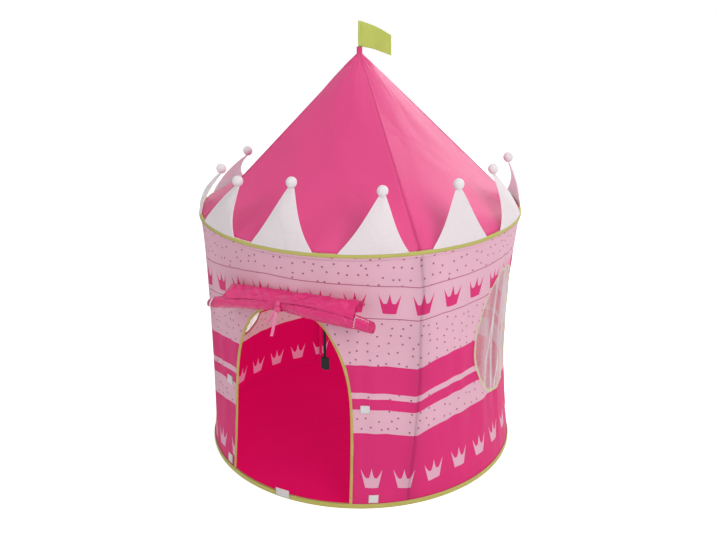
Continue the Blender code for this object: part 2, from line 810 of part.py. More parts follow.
def make_tie():
    """The ribbon round the middle of the roll, with its two ends hanging in front."""
    out, up = roll_middle(0)
    radius = roll_radius * roll_pinch_share + tie_thickness / 2 + 2 * fit_gap
    start = -math.pi / 2 + (2 * math.pi - tie_turn) / 2 + math.radians(35)
    turns = [start - (2 * math.pi - tie_turn) - tie_turn * k / tie_steps for k in range(tie_steps + 1)]
    loop = [(0, out + radius * math.cos(turn), up + radius * math.sin(turn)) for turn in turns]
    tails = ((1.0, 1), (0.66, 1), (0.33, 1))
    first = [(-tie_spread * t, loop[0][1] + tie_thickness, loop[0][2] - tie_tail * t) for t, _ in tails]
    last = [(tie_spread * t, loop[-1][1] + tie_thickness, loop[-1][2] - tie_tail * t) for t, _ in tails]
    path = first + loop + last[::-1]
    return ribbon("roll_tie", path, tie_width, tie_thickness, facings["front"], satin_pink)


# Storage strap
def strap_path():
    """From the eaves binding down the wall's inner face, then straight down behind the door."""
    facing = facings["front"]
    top = wall_height - strap_top_drop
    tape_face = binding_inner * math.cos(math.pi / ring_steps)
    tape_out = math.sqrt(tape_face**2 - (strap_offset + strap_width / 2) ** 2)
    reach = tape_out - fit_gap - strap_thickness / 2
    heights = [top + (strap_bend_height - top) * k / 5 for k in range(6)]
    outs = [reach]
    for height in heights[1:]:
        outs.append(wall_out(facing, strap_offset, height) - strap_wall_gap - strap_thickness / 2)
    path = [(strap_offset, min(out, reach), height) for out, height in zip(outs, heights)]
    path.append((strap_offset, outs[-1], (strap_bend_height + strap_end_height) / 2))
    path.append((strap_offset, outs[-1], strap_end_height))
    return path


def make_buckle():
    """A sliding buckle: a rounded block with a slot right through, along the strap."""
    bpy.ops.mesh.primitive_cube_add(size=1)
    buckle = bpy.context.active_object
    buckle.name = "strap_buckle"
    buckle.data.name = "strap_buckle"
    for holder in list(buckle.users_collection):
        holder.objects.unlink(buckle)
    tent.objects.link(buckle)
    buckle.data.materials.append(black_plastic)
    buckle.data.transform(Matrix.Diagonal((buckle_width, buckle_thickness, buckle_height, 1)))
    rounding = buckle.modifiers.new("round", "BEVEL")
    rounding.width = buckle_round
    rounding.segments = 2
    settled(buckle)
    bm = bmesh.new()
    bmesh.ops.create_cube(bm, size=1)
    slot_width = strap_width + 2 * buckle_slot_gap
    slot_depth = strap_thickness + 2 * buckle_slot_gap
    bmesh.ops.scale(bm, vec=(slot_width, slot_depth, buckle_height + cut_overrun), verts=bm.verts[:])
    slot = add("buckle_slot", mesh_of("buckle_slot", bm), black_plastic, cutters)
    combine(buckle, slot, "DIFFERENCE")
    out = strap_path()[-1][1]
    middle = strap_end_height + strap_tail + buckle_height / 2
    buckle.matrix_world = Matrix.Translation(around(facings["front"], out, strap_offset, middle))
    return buckle


def pivot(name, place):
    """An empty on a joint's axis, which carries the pieces that move together there."""
    made = bpy.data.objects.new(name, None)
    tent.objects.link(made)
    made.location = place
    return made


def carry(holder, pieces):
    bpy.context.view_layer.update()
    for piece in pieces:
        piece.parent = holder
        piece.matrix_parent_inverse = holder.matrix_world.inverted()


def build():
    make_floor()
    turned("base_hoop", hoop_profile(), ring_steps, spring_steel)
    turned("base_binding", binding_profile(), ring_steps, lime_tape)
    riders = [
        turned("eaves_hoop", hung(hoop_profile()), ring_steps, spring_steel),
        turned("eaves_binding", hung(binding_profile()), ring_steps, lime_tape),
    ]
    panels = {side: wall_panel(side) for side in facings}
    clear = edge_tape_width + fit_gap
    front = facings["front"]
    door = widened(door_outline(), clear, False)
    sunk = [(door[0][0], -cut_overrun)] + door + [(door[-1][0], -cut_overrun)]
    combine(panels["front"], opening_cutter("door_cutter", sunk, front), "DIFFERENCE")
    edge_tape("door_binding", door_outline(), False, front)
    for side in ("right", "left"):
        outline = widened(window_outline(), clear, True)
        cutter = opening_cutter(f"window_cutter_{side}", outline, facings[side])
        combine(panels[side], cutter, "DIFFERENCE")
        edge_tape(f"window_binding_{side}", window_outline(), True, facings[side])
        window_net(f"window_net_{side}", facings[side])
    for k, azimuth in enumerate(pole_azimuths, start=1):
        pole_pocket(f"pole_pocket_{k}", azimuth)
        lower_pole(f"pole_lower_{k}", azimuth)
        knee = Matrix.Translation(at(azimuth, pole_circle_radius, knee_height))
        upper = head_height - knee_height - head_setback
        tube(f"pole_upper_{k}", knee_setback, upper, knee, pole_grey)
        knee_sleeve(f"knee_sleeve_{k}", azimuth)
        riders.append(elbow(f"elbow_{k}", azimuth))
        high = roof_pole_length() - fit_gap
        riders.append(tube(f"roof_pole_{k}", head_setback, high, roof_frame(azimuth), pole_grey))
    riders += [roof_gore(side) for side in facings]
    riders += [crown_point(index) for index in range(crown_count)]
    riders.append(make_hub())
    flag = make_flag()
    carry(pivot("eaves_pivot", at(pole_azimuths[0], pole_circle_radius, head_height)), riders)
    carry(pivot("flag_pivot", (0, 0, roof_height + roof_neck_height)), [flag])
    seam = wall_out(front, 0, roll_seam_height) + cloth_thickness + roll_wall_gap
    hinge = around(front, seam, 0, roll_seam_height)
    carry(pivot("flap_pivot", hinge), [make_roll(), make_tie()])
    strap = ribbon("storage_strap", strap_path(), strap_width, strap_thickness, front, black_webbing)
    aside, out, up = strap_path()[0]
    carry(pivot("strap_pivot", around(front, out, aside, up)), [strap, make_buckle()])


build()
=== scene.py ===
"""A child's play tent shaped like a castle turret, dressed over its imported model.

Printed polyester walls hang between two sprung hoops, four folding poles hold up a pointed roof,
and the door flap is rolled up over the arched doorway. Every piece below is placed in metres, with
the floor at height 0, +Z up and the door facing -Y.
"""

import math

import bmesh
import bpy
import numpy as np
from mathutils import Euler, Matrix, Vector


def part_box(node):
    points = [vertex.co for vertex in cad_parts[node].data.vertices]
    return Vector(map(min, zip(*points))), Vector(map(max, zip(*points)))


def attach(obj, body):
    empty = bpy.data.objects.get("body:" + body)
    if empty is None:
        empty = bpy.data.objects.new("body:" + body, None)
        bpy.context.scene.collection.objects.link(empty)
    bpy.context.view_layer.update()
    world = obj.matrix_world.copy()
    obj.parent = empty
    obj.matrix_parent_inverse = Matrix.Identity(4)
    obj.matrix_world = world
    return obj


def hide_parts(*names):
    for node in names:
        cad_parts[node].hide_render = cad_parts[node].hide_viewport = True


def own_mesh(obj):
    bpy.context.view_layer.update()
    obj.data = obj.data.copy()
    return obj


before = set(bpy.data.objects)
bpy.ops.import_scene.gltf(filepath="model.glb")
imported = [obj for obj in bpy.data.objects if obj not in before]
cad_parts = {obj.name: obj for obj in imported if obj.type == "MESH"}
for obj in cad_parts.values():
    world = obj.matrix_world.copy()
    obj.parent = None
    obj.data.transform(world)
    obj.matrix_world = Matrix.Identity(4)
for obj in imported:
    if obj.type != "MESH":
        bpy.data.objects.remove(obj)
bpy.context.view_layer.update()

# Studio. A pale floor that runs out to a white surround, under four large softboxes. The one on the
# right is much stronger than the one on the left, so that the right half of the roof reads lighter.
scene = bpy.context.scene
scene.view_settings.view_transform = "Standard"
camera_place = Vector((1.2633, -2.5902, 1.6648))
camera_pitch = 0.3567
camera_heading = math.radians(26.0) + 0.0028
camera_roll = -0.005
camera_data = bpy.data.cameras.new("camera")
camera_data.sensor_width = 36
camera_data.lens = 45.52
camera = bpy.data.objects.new("camera", camera_data)
scene.collection.objects.link(camera)
camera_turn = Euler((math.pi / 2 - camera_pitch, 0, camera_heading)).to_matrix().to_4x4()
camera.matrix_world = Matrix.Translation(camera_place) @ camera_turn @ Matrix.Rotation(camera_roll, 4, "Z")
scene.camera = camera
lamp_aim = Vector((0, 0, 0.6))


def lamp(name, place, size, watts):
    """A square softbox that faces the middle of the tent."""
    light = bpy.data.lights.new(name, "AREA")
    light.size = size
    light.energy = watts
    made = bpy.data.objects.new(name, light)
    scene.collection.objects.link(made)
    made.location = place
    made.rotation_euler = (lamp_aim - Vector(place)).to_track_quat("-Z", "Y").to_euler()


lamp("right_softbox", (3.4, -2.2, 2.9), 2.4, 87)
lamp("left_softbox", (-2.6, -3.2, 2.4), 2.6, 32)
lamp("rear_softbox", (0.6, 3.6, 2.9), 2.6, 66)
lamp("top_softbox", (0.8, 0.0, 4.4), 3.0, 30)


def plug(tree, socket, value):
    """Links another node's output to the socket, or sets the socket to the value."""
    if isinstance(value, bpy.types.NodeSocket):
        tree.links.new(value, socket)
    else:
        socket.default_value = value


def any_node(tree, kind, inputs=None, **settings):
    """A node with its settings and its inputs, which are values or other nodes' outputs."""
    made = tree.nodes.new(kind)
    for key, value in settings.items():
        setattr(made, key, value)
    for key, value in (inputs or {}).items():
        plug(tree, made.inputs[key], value)
    return made


def node(tree, kind, inputs=None, **settings):
    """A shader node with its settings and its inputs."""
    return any_node(tree, "ShaderNode" + kind, inputs, **settings)


def calc(tree, operation, a, b=0.0, c=0.0):
    """The output of a math node on two or three numbers."""
    return node(tree, "Math", {0: a, 1: b, 2: c}, operation=operation).outputs[0]


def plain_sight(tree):
    """1 for rays that see the studio itself: straight, in a reflection or through something clear."""
    rays = node(tree, "LightPath").outputs
    seen = calc(tree, "MAXIMUM", rays["Is Camera Ray"], rays["Is Glossy Ray"])
    return calc(tree, "MAXIMUM", seen, rays["Is Transmission Ray"])


world = bpy.data.worlds.new("studio")
scene.world = world
world.use_nodes = True
sky = world.node_tree
sky.nodes.clear()
seen = plain_sight(sky)
surround = node(sky, "Background", {"Color": (1, 1, 1, 1), "Strength": 1.0})
soft_light = node(sky, "Background", {"Color": (1, 1, 1, 1), "Strength": 0.38})
mix = node(sky, "MixShader", {0: seen, 1: soft_light.outputs[0], 2: surround.outputs[0]})
node(sky, "OutputWorld", {"Surface": mix.outputs[0]})


def new_material(name, roughness, **shader):
    """A material with its Principled shader. Returns the material, its tree and the shader."""
    made = bpy.data.materials.new(name)
    made.use_nodes = True
    tree = made.node_tree
    main = tree.nodes["Principled BSDF"]
    main.inputs["Roughness"].default_value = roughness
    for key, value in shader.items():
        main.inputs[key.replace("_", " ")].default_value = value
    return made, tree, main


ground_white, tree, main = new_material("ground_white", 0.9, Specular_IOR_Level=0.1)
main.inputs["Base Color"].default_value = (0.86, 0.86, 0.86, 1)
main.inputs["Emission Color"].default_value = (1, 1, 1, 1)
ground_glow, ground_reach, ground_drop = 0.66, 30.0, 0.0004
plug(tree, main.inputs["Emission Strength"], calc(tree, "MULTIPLY", plain_sight(tree), ground_glow))
ground_mesh = bpy.data.meshes.new("studio_floor")
corners = [(x * ground_reach, y * ground_reach, 0) for x, y in ((-1, -1), (1, -1), (1, 1), (-1, 1))]
ground_mesh.from_pydata(corners, [], [(0, 1, 2, 3)])
ground_mesh.materials.append(ground_white)
ground = bpy.data.objects.new("studio_floor", ground_mesh)
ground.location.z = -ground_drop
scene.collection.objects.link(ground)

# Floor cloth. A round of coated polyester sewn inside the lower tape. It lies on the ground and
# keeps a few shallow creases from being packed.
tent_radius = 0.525
wall_height = 0.83
binding_depth = 0.010
binding_width = 0.016
cloth_metre = 0.512
floor_radius = tent_radius - binding_depth - 0.0006
floor_cloth_thickness, floor_rim_thickness = 0.0009, 0.0005
floor_lift, floor_ripple = 0.0012, 0.0011


def new_group(name, wanted, given):
    """An empty shader node group with float or vector inputs and outputs, and its two end nodes."""
    group = bpy.data.node_groups.new(name, "ShaderNodeTree")
    for key, kind, value in wanted:
        made = group.interface.new_socket(key, in_out="INPUT", socket_type="NodeSocket" + kind)
        if kind == "Float":
            made.default_value = value
    for key, kind in given:
        group.interface.new_socket(key, in_out="OUTPUT", socket_type="NodeSocket" + kind)
    return group, group.nodes.new("NodeGroupInput").outputs, group.nodes.new("NodeGroupOutput").inputs


# Plain weave, as a height from 0 to 1: threads cross over and under at the given pitch
weave_group, got, out = new_group("plain_weave", [("Cloth", "Vector", 0), ("Pitch", "Float", 0.001)],
                                  [("Height", "Float")])
parts = node(weave_group, "SeparateXYZ", {0: got["Cloth"]}).outputs
turns = [calc(weave_group, "DIVIDE", parts[k], got["Pitch"]) for k in (0, 1)]
waves = [calc(weave_group, "SINE", calc(weave_group, "MULTIPLY", turn, math.pi)) for turn in turns]
crossing = calc(weave_group, "MULTIPLY", *waves)
plug(weave_group, out["Height"], calc(weave_group, "MULTIPLY_ADD", crossing, 0.5, 0.5))

# Packing creases and soft ripples, as a height from 0 to 1
crease_group, got, out = new_group("packing_creases", [("Cloth", "Vector", 0), ("Size", "Float", 0.12)],
                                   [("Height", "Float")])
scale = calc(crease_group, "DIVIDE", 1.0, got["Size"])
ripples = node(crease_group, "TexNoise", {"Vector": got["Cloth"], "Scale": scale, "Detail": 4.0,
                                          "Roughness": 0.55, "Distortion": 0.5}).outputs["Fac"]
finer = calc(crease_group, "MULTIPLY", scale, 0.8)
folds = node(crease_group, "TexVoronoi", {"Vector": got["Cloth"], "Scale": finer},
             feature="DISTANCE_TO_EDGE").outputs["Distance"]
folds = calc(crease_group, "MINIMUM", calc(crease_group, "MULTIPLY", folds, 6.0), 1.0)
plug(crease_group, out["Height"], calc(crease_group, "MULTIPLY_ADD", folds, 0.35,
                                       calc(crease_group, "MULTIPLY", ripples, 0.9)))

# Uneven dye and handling: a factor close to 1 that lightens and darkens a colour in soft patches
fade_group, got, out = new_group("uneven_dye", [("Cloth", "Vector", 0), ("Depth", "Float", 0.1)],
                                 [("Factor", "Float")])
patches = node(fade_group, "TexNoise", {"Vector": got["Cloth"], "Scale": 5.0, "Detail": 5.0}).outputs["Fac"]
centred = calc(fade_group, "SUBTRACT", patches, 0.5)
plug(fade_group, out["Factor"], calc(fade_group, "MULTIPLY_ADD", centred, got["Depth"], 1.0))


def placed(tree, group, inputs):
    """A node group placed in a material. Returns its first output."""
    made = tree.nodes.new("ShaderNodeGroup")
    made.node_tree = group
    for key, value in inputs.items():
        plug(tree, made.inputs[key], value)
    return made.outputs[0]


def tinted(tree, color, factor):
    """A colour, plain or from a node, made lighter or darker by a factor."""
    return node(tree, "VectorMath", {0: color, "Scale": factor}, operation="SCALE").outputs[0]


def cloth_map(tree):
    """The piece's own map, in metres along and across its cloth."""
    return node(tree, "UVMap", uv_map="cloth").outputs[0]


def bumped(tree, main, layers):
    """Adds (height, depth in metres) layers to the shader's normal, one bump over the other."""
    last = None
    for height, depth in layers:
        inputs = {"Height": height, "Distance": depth, "Strength": 1.0}
        if last:
            inputs["Normal"] = last
        last = node(tree, "Bump", inputs).outputs[0]
    plug(tree, main.inputs["Normal"], last)


def painted_glow_through(tree, main, color, strength):
    """A painted glow in the cloth's own colour, standing in for light that comes through thin cloth from outside."""
    plug(tree, main.inputs["Emission Color"], color)
    main.inputs["Emission Strength"].default_value = strength


def woven(name, color, roughness, pitch=0.0009, depth=0.00012, creases=0.0, crease_size=0.12,
          fade=0.16, through=0.0, **shader):
    """Plain dyed cloth with its weave, creases and uneven dye. Where through is set, it glows in its own colour:
    painted light for light coming through the cloth.
    """
    made, tree, main = new_material(name, roughness, **shader)
    place = cloth_map(tree)
    factor = placed(tree, fade_group, {"Cloth": place, "Depth": fade})
    dyed = tinted(tree, color, factor)
    plug(tree, main.inputs["Base Color"], dyed)
    if through:
        painted_glow_through(tree, main, dyed, through)
    layers = [(placed(tree, weave_group, {"Cloth": place, "Pitch": pitch}), depth)]
    if creases:
        layers.append((placed(tree, crease_group, {"Cloth": place, "Size": crease_size}), creases))
    bumped(tree, main, layers)
    return made


def smoothed(mesh):
    """Shades a mesh's faces round, apart from its sharp edges."""
    mesh.shade_smooth()
    mesh.set_sharp_from_angle(angle=math.radians(42))


def link(name, mesh, materials):
    """An object of the mesh, at the origin, with its materials and smooth round faces."""
    made = bpy.data.objects.new(name, mesh)
    scene.collection.objects.link(made)
    for material in materials:
        mesh.materials.append(material)
    smoothed(mesh)
    return made


def grid_mesh(name, points, cloth, close_u=False, close_v=False):
    """A mesh of an array of points, rows by columns, with its map in metres on the cloth."""
    rows, columns = points.shape[:2]
    mesh = bpy.data.meshes.new(name)
    index = np.arange(rows * columns).reshape(rows, columns)
    if close_u:
        index = np.concatenate([index, index[:, :1]], axis=1)
        lap = (cloth[:, -1:] - cloth[:, :1]) * columns / (columns - 1)
        cloth = np.concatenate([cloth, cloth[:, :1] + lap], axis=1)
    if close_v:
        index = np.concatenate([index, index[:1]], axis=0)
        lap = (cloth[-1:] - cloth[:1]) * rows / (rows - 1)
        cloth = np.concatenate([cloth, cloth[:1] + lap], axis=0)
    faces, maps = (np.stack([grid[:-1, :-1], grid[:-1, 1:], grid[1:, 1:], grid[1:, :-1]], axis=2)
                   for grid in (index, cloth))
    mesh.from_pydata(points.reshape(-1, 3).tolist(), [], faces.reshape(-1, 4).tolist())
    layer = mesh.uv_layers.new(name="cloth")
    layer.data.foreach_set("uv", maps.astype(np.float32).ravel())
    return mesh


def settled(made):
    """Makes the object's modifiers part of its mesh."""
    bpy.context.view_layer.update()
    graph = bpy.context.evaluated_depsgraph_get()
    mesh = bpy.data.meshes.new_from_object(made.evaluated_get(graph))
    made.modifiers.clear()
    made.data = mesh
    return made


def thickened(made, thickness, offset=0.0, inside=False, even=True):
    """Gives a cloth surface its thickness. The back takes the second material where inside is set."""
    wall = made.modifiers.new("thickness", "SOLIDIFY")
    wall.thickness = thickness
    wall.offset = offset
    wall.use_even_offset = even
    wall.material_offset = 1 if inside else 0
    return settled(made)


def across(columns, rows):
    """Even shares along the columns and the rows of a grid, as two arrays."""
    return np.meshgrid(np.linspace(0, 1, columns + 1), np.linspace(0, 1, rows + 1))


def xyz(*ways):
    """Points from their coordinates along each way, which may be arrays or single numbers."""
    return np.stack(np.broadcast_arrays(*ways), axis=-1)


def round_axis(radius, turn, height):
    """Points at a distance from the tent's axis, by how far round and how high they lie."""
    return xyz(radius * np.cos(turn), radius * np.sin(turn), height)


# The floor cloth glows in its own crimson: painted light for the light that reaches the floor inside the tent
floor_pink = woven("floor_cloth", (0.305, 0.0008, 0.047), 0.6, pitch=0.0012, depth=0.0002, creases=0.0035,
                   crease_size=0.17, through=1.2, Specular_IOR_Level=0.12)
angle, share = across(144, 40)
angle, share = angle[:, :-1] * 2 * math.pi, share[:, :-1] * 0.999 + 0.001
radius = floor_radius * share
ripple = np.sin(radius * 21 + 2 * np.sin(2 * angle)) * np.sin(angle * 5 + 3 * share) + 1
height = floor_lift + floor_ripple * ripple * np.clip((1 - share) * 6, 0, 1) * np.clip(share * 4, 0, 1)
points = round_axis(radius, angle, height)
floor_cloth = link("floor_cloth", grid_mesh("floor_cloth", points, points[..., :2], close_u=True), [floor_pink])
thickened(floor_cloth, floor_cloth_thickness)
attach(floor_cloth, "tent_base")
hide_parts("floor")
# Its edge turns up inside the lower tape
rim_line = np.array([(0.0, floor_lift), (0.0002, 0.004), (0.0004, 0.009), (0.0022, 0.013), (0.0038, 0.0172)])
rim_steps, rim_inset, rim_pucker = 240, 0.0008, 0.0002
angle = np.arange(rim_steps) * 2 * math.pi / rim_steps
radius = floor_radius - rim_inset + rim_line[:, :1] + rim_pucker * np.sin(angle * 70)
points = round_axis(radius, angle, rim_line[:, 1:])
cloth = xyz(angle * floor_radius, rim_line[:, 1:])
floor_rim = link("floor_cloth_rim", grid_mesh("floor_cloth_rim", points, cloth, close_u=True), [floor_pink])
thickened(floor_rim, floor_rim_thickness)
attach(floor_rim, "tent_base")

# Hoops. Flat strips of sprung steel, one slid into each of the two tapes and joined end to end.
# They hardly show. The CAD nodes stay and get a steel finish.
spring_steel, tree, main = new_material("spring_steel", 0.35, Metallic=0.9)
place = node(tree, "TexCoord").outputs["Object"]
drawn = node(tree, "TexNoise", {"Vector": place, "Scale": 240.0, "Detail": 3.0}).outputs["Fac"]
worn = calc(tree, "MULTIPLY_ADD", drawn, 0.3, 0.85)
plug(tree, main.inputs["Base Color"], tinted(tree, (0.46, 0.47, 0.49), worn))
plug(tree, main.inputs["Roughness"], calc(tree, "MULTIPLY_ADD", drawn, 0.25, 0.25))


def dress(names, material):
    """Gives CAD nodes that stay a finished material."""
    for name in names:
        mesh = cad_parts[name].data
        mesh.materials.clear()
        mesh.materials.append(material)


dress(["base_hoop", "eaves_hoop"], spring_steel)

# Lime tapes with the hoops inside. Each is one twill tape folded round its hoop, with the hem of
# the wall between its lips and a row of stitches through them.
tape_thickness = 0.0015
hem_radius = tent_radius - binding_depth / 2
cloth_thickness = 0.0015


def rounded(section, times=1):
    """A closed section with its corners cut, so that a folded tape reads soft."""
    section = np.array(section, float)
    for _ in range(times):
        after = np.roll(section, -1, axis=0)
        cut = np.stack([section * 0.75 + after * 0.25, section * 0.25 + after * 0.75], axis=1)
        section = cut.reshape(-1, section.shape[1])
    return section


def arc_shares(points):
    """Length along a line of points, at each of them."""
    steps = np.linalg.norm(np.diff(points, axis=0), axis=1)
    return np.concatenate([[0], np.cumsum(steps)])


def tape_twill(name, color):
    """Twill tape: fine slanting ribs with painted shade in their hollows, uneven dye, small creases and a little
    sheen.
    """
    made, tree, main = new_material(name, 0.7, Sheen_Weight=0.15)
    place = cloth_map(tree)
    parts = node(tree, "SeparateXYZ", {0: place}).outputs
    slant = calc(tree, "MULTIPLY", calc(tree, "ADD", parts[0], parts[1]), 2 * math.pi / 0.0016)
    ribs = calc(tree, "MULTIPLY_ADD", calc(tree, "SINE", slant), 0.5, 0.5)
    factor = placed(tree, fade_group, {"Cloth": place, "Depth": 0.35})
    # The ribs also darken the colour a little in their hollows: painted shade
    factor = calc(tree, "MULTIPLY", factor, calc(tree, "MULTIPLY_ADD", ribs, 0.12, 0.92))
    plug(tree, main.inputs["Base Color"], tinted(tree, color, factor))
    creases = placed(tree, crease_group, {"Cloth": place, "Size": 0.03})
    bumped(tree, main, [(ribs, 0.00018), (creases, 0.0006)])
    return made


lime_twill = tape_twill("lime_twill", (0.53, 0.49, 0.12))
grip_slack = 0.0006
grip_out = hem_radius + cloth_thickness / 2 + grip_slack
grip_in = hem_radius - cloth_thickness / 2 - grip_slack
shoulder = binding_width * 0.55
tape_back = tent_radius - binding_depth
tape_section = rounded([
    (grip_out + tape_thickness, binding_width), (tent_radius, shoulder), (tent_radius, 0.0),
    (tape_back, 0.0), (tape_back, shoulder), (grip_in - tape_thickness, binding_width),
    (grip_in, binding_width), (tape_back + tape_thickness, shoulder),
    (tape_back + tape_thickness, tape_thickness), (tent_radius - tape_thickness, tape_thickness),
    (tent_radius - tape_thickness, shoulder), (grip_out, binding_width)], 2)
tape_steps = 300
tape_pucker = 0.00035


def puckers(turn):
    """The small uneven gathers that stitching leaves round a hoop, from -1 to 1."""
    return np.sin(turn * 150) * np.sin(turn * 17)


def hoop_tape(name, node_name, body, flip):
    """The tape round one hoop, gathered a little by its stitches. The upper one is upside down."""
    turn = np.arange(tape_steps) * 2 * math.pi / tape_steps
    radius = tape_section[:, :1]
    height = tape_section[:, 1:]
    pucker = tape_pucker * puckers(turn) * np.clip(height / binding_width, 0, 1)
    radius = np.minimum(radius + pucker, tent_radius)
    height = np.broadcast_to(height, radius.shape)
    if flip:
        height = wall_height - height
    points = round_axis(radius, turn, height)
    cloth = xyz(turn * tent_radius, arc_shares(tape_section)[:, None])
    if flip:
        points, cloth = points[::-1], cloth[::-1]
    made = link(name, grid_mesh(name, points, cloth, close_u=True, close_v=True), [lime_twill])
    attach(made, body)
    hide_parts(node_name)


hoop_tape("base_tape", "base_binding", "tent_base", False)
hoop_tape("eaves_tape", "eaves_binding", "eaves", True)

# Stitches. Lock-stitched polyester thread along the tapes, seams and hems. One node tree lays short
# rounded stitches along any line of points.


def new_tree(name, wanted, given):
    """A geometry node tree with its inputs and one output. Returns it, its inputs and their identifiers."""
    tree = bpy.data.node_groups.new(name, "GeometryNodeTree")
    identifiers = {}
    for key, kind, value in wanted:
        made = tree.interface.new_socket(key, in_out="INPUT", socket_type="NodeSocket" + kind)
        identifiers[key] = made.identifier
        if value is not None:
            made.default_value = value
    tree.interface.new_socket(given, in_out="OUTPUT", socket_type="NodeSocketGeometry")
    return tree, tree.nodes.new("NodeGroupInput").outputs, identifiers


def geo(tree, kind, inputs=None, **settings):
    """The first output of a node in a geometry tree."""
    return any_node(tree, kind, inputs, **settings).outputs[0]


stitch_tree, got, stitch_inputs = new_tree(
    "stitches_along_a_line",
    [("Line", "Geometry", None), ("Pitch", "Float", 0.005), ("Length", "Float", 0.003),
     ("Thread", "Float", 0.0007), ("Material", "Material", None)], "Stitches")
line = geo(stitch_tree, "GeometryNodeMeshToCurve", {"Mesh": got["Line"]})
line = geo(stitch_tree, "GeometryNodeResampleCurve", {"Curve": line, "Length": got["Pitch"]}, mode="LENGTH")
shape = geo(stitch_tree, "GeometryNodeMeshUVSphere", {"Segments": 6, "Rings": 4, "Radius": 0.5})
size = geo(stitch_tree, "ShaderNodeCombineXYZ", {0: got["Thread"], 1: got["Thread"], 2: got["Length"]})
shape = geo(stitch_tree, "GeometryNodeTransform", {"Geometry": shape, "Scale": size})
along = geo(stitch_tree, "GeometryNodeInputTangent")
facing_along = geo(stitch_tree, "FunctionNodeAlignRotationToVector", {"Vector": along}, axis="Z")
laid = geo(stitch_tree, "GeometryNodeInstanceOnPoints",
           {"Points": line, "Instance": shape, "Rotation": facing_along})
laid = geo(stitch_tree, "GeometryNodeRealizeInstances", {"Geometry": laid})
laid = geo(stitch_tree, "GeometryNodeSetMaterial", {"Geometry": laid, "Material": got["Material"]})
stitch_tree.links.new(laid, stitch_tree.nodes.new("NodeGroupOutput").inputs[0])


def thread_material(name, color):
    """Twisted sewing thread."""
    made, tree, main = new_material(name, 0.55, Sheen_Weight=0.2)
    place = node(tree, "TexCoord").outputs["Object"]
    twist = node(tree, "TexNoise", {"Vector": place, "Scale": 900.0}).outputs["Fac"]
    plug(tree, main.inputs["Base Color"], tinted(tree, color, calc(tree, "MULTIPLY_ADD", twist, 0.4, 0.8)))
    bumped(tree, main, [(twist, 0.0001)])
    return made


lime_thread = thread_material("lime_thread", (0.58, 0.62, 0.16))
white_thread = thread_material("white_thread", (0.80, 0.76, 0.78))
pink_thread = thread_material("pink_thread", (0.78, 0.22, 0.40))


def line_object(name, lines):
    """Lines of points as edges, for a node tree to follow. A closed line repeats its first point."""
    mesh = bpy.data.meshes.new(name)
    points, edges = [], []
    for run in lines:
        start = len(points)
        closed = np.allclose(run[0], run[-1])
        kept = run[:-1] if closed else run
        points += [tuple(point) for point in kept]
        edges += [(start + i, start + i + 1) for i in range(len(kept) - 1)]
        if closed:
            edges.append((start + len(kept) - 1, start))
    mesh.from_pydata(points, edges, [])
    made = bpy.data.objects.new(name, mesh)
    scene.collection.objects.link(made)
    return made


def node_built(made, tree, identifiers, values):
    """Runs a geometry node tree on the object and keeps the mesh that comes out."""
    modifier = made.modifiers.new("nodes", "NODES")
    modifier.node_group = tree
    for key, value in values.items():
        modifier[identifiers[key]] = value
    mesh = settled(made).data
    mesh.shade_smooth()
    return made


def stitches(name, lines, thread, body, pitch=0.0055, length=0.0036, width=0.0008):
    """Rows of stitches along lines of points, as one piece."""
    made = node_built(line_object(name, lines), stitch_tree, stitch_inputs,
                      {"Pitch": pitch, "Length": length, "Thread": width, "Material": thread})
    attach(made, body)
    return made


def ring(radius, height, steps=240):
    """A closed ring of points round the tent's axis."""
    return round_axis(radius, np.linspace(0, 2 * math.pi, steps + 1), height)


stitch_height = 0.0088
stitch_ring = tent_radius - 0.0002
stitches("base_stitches", [ring(stitch_ring, stitch_height)], lime_thread, "tent_base")
stitches("eaves_stitches", [ring(stitch_ring, wall_height - stitch_height)], lime_thread, "eaves")

# Wall panels. Four lengths of printed polyester taffeta, seamed over the poles, round in the tapes
# and drawn a little flat between the poles. The front one has the doorway, those at the sides a window.
panel_half = math.pi / 4
pole_circle_radius = tent_radius - 0.022
sleeve_radius = 0.0065
wall_mid_corner = pole_circle_radius + sleeve_radius + 0.0028
flatness = {"front": 0.22, "right": 0.18, "back": 0.30, "left": 0.25}
facings = {"front": -math.pi / 2, "right": 0.0, "back": math.pi / 2, "left": math.pi}
flatness_by_quarter = np.array([flatness[side] for side in ("left", "front", "right", "back")])
fold_depth, soft_fold_depth, ripple_depth, gather_depth = 0.0035, 0.0024, 0.0011, 0.0007
seam_groove = 0.0042
hem_inner = hem_radius - cloth_thickness / 2
# The strap's buckle holds the cloth out a little beside the arch: how far round and how high that is,
# how deep it is, and how wide and how tall
bulge_azimuth, bulge_height, bulge_depth = -1.332, 0.578, 0.0068
bulge_turn, bulge_rise = 0.10, 0.07
# The seam at the front right doesn't run straight up: (height, how far it turns off its pole)
seam_turns = ((0.0, -0.050), (0.06, -0.044), (0.22, -0.010), (0.42, 0.015), (0.60, 0.012), (0.70, 0.025),
              (0.83, 0.0))


def seam_drift(azimuth, height):
    """How far the cloth at an even azimuth is turned by that crooked seam."""
    off_seam = (azimuth + panel_half + math.pi) % (2 * math.pi) - math.pi
    return np.interp(height, *zip(*seam_turns)) * np.exp(-(off_seam / 0.35) ** 2)


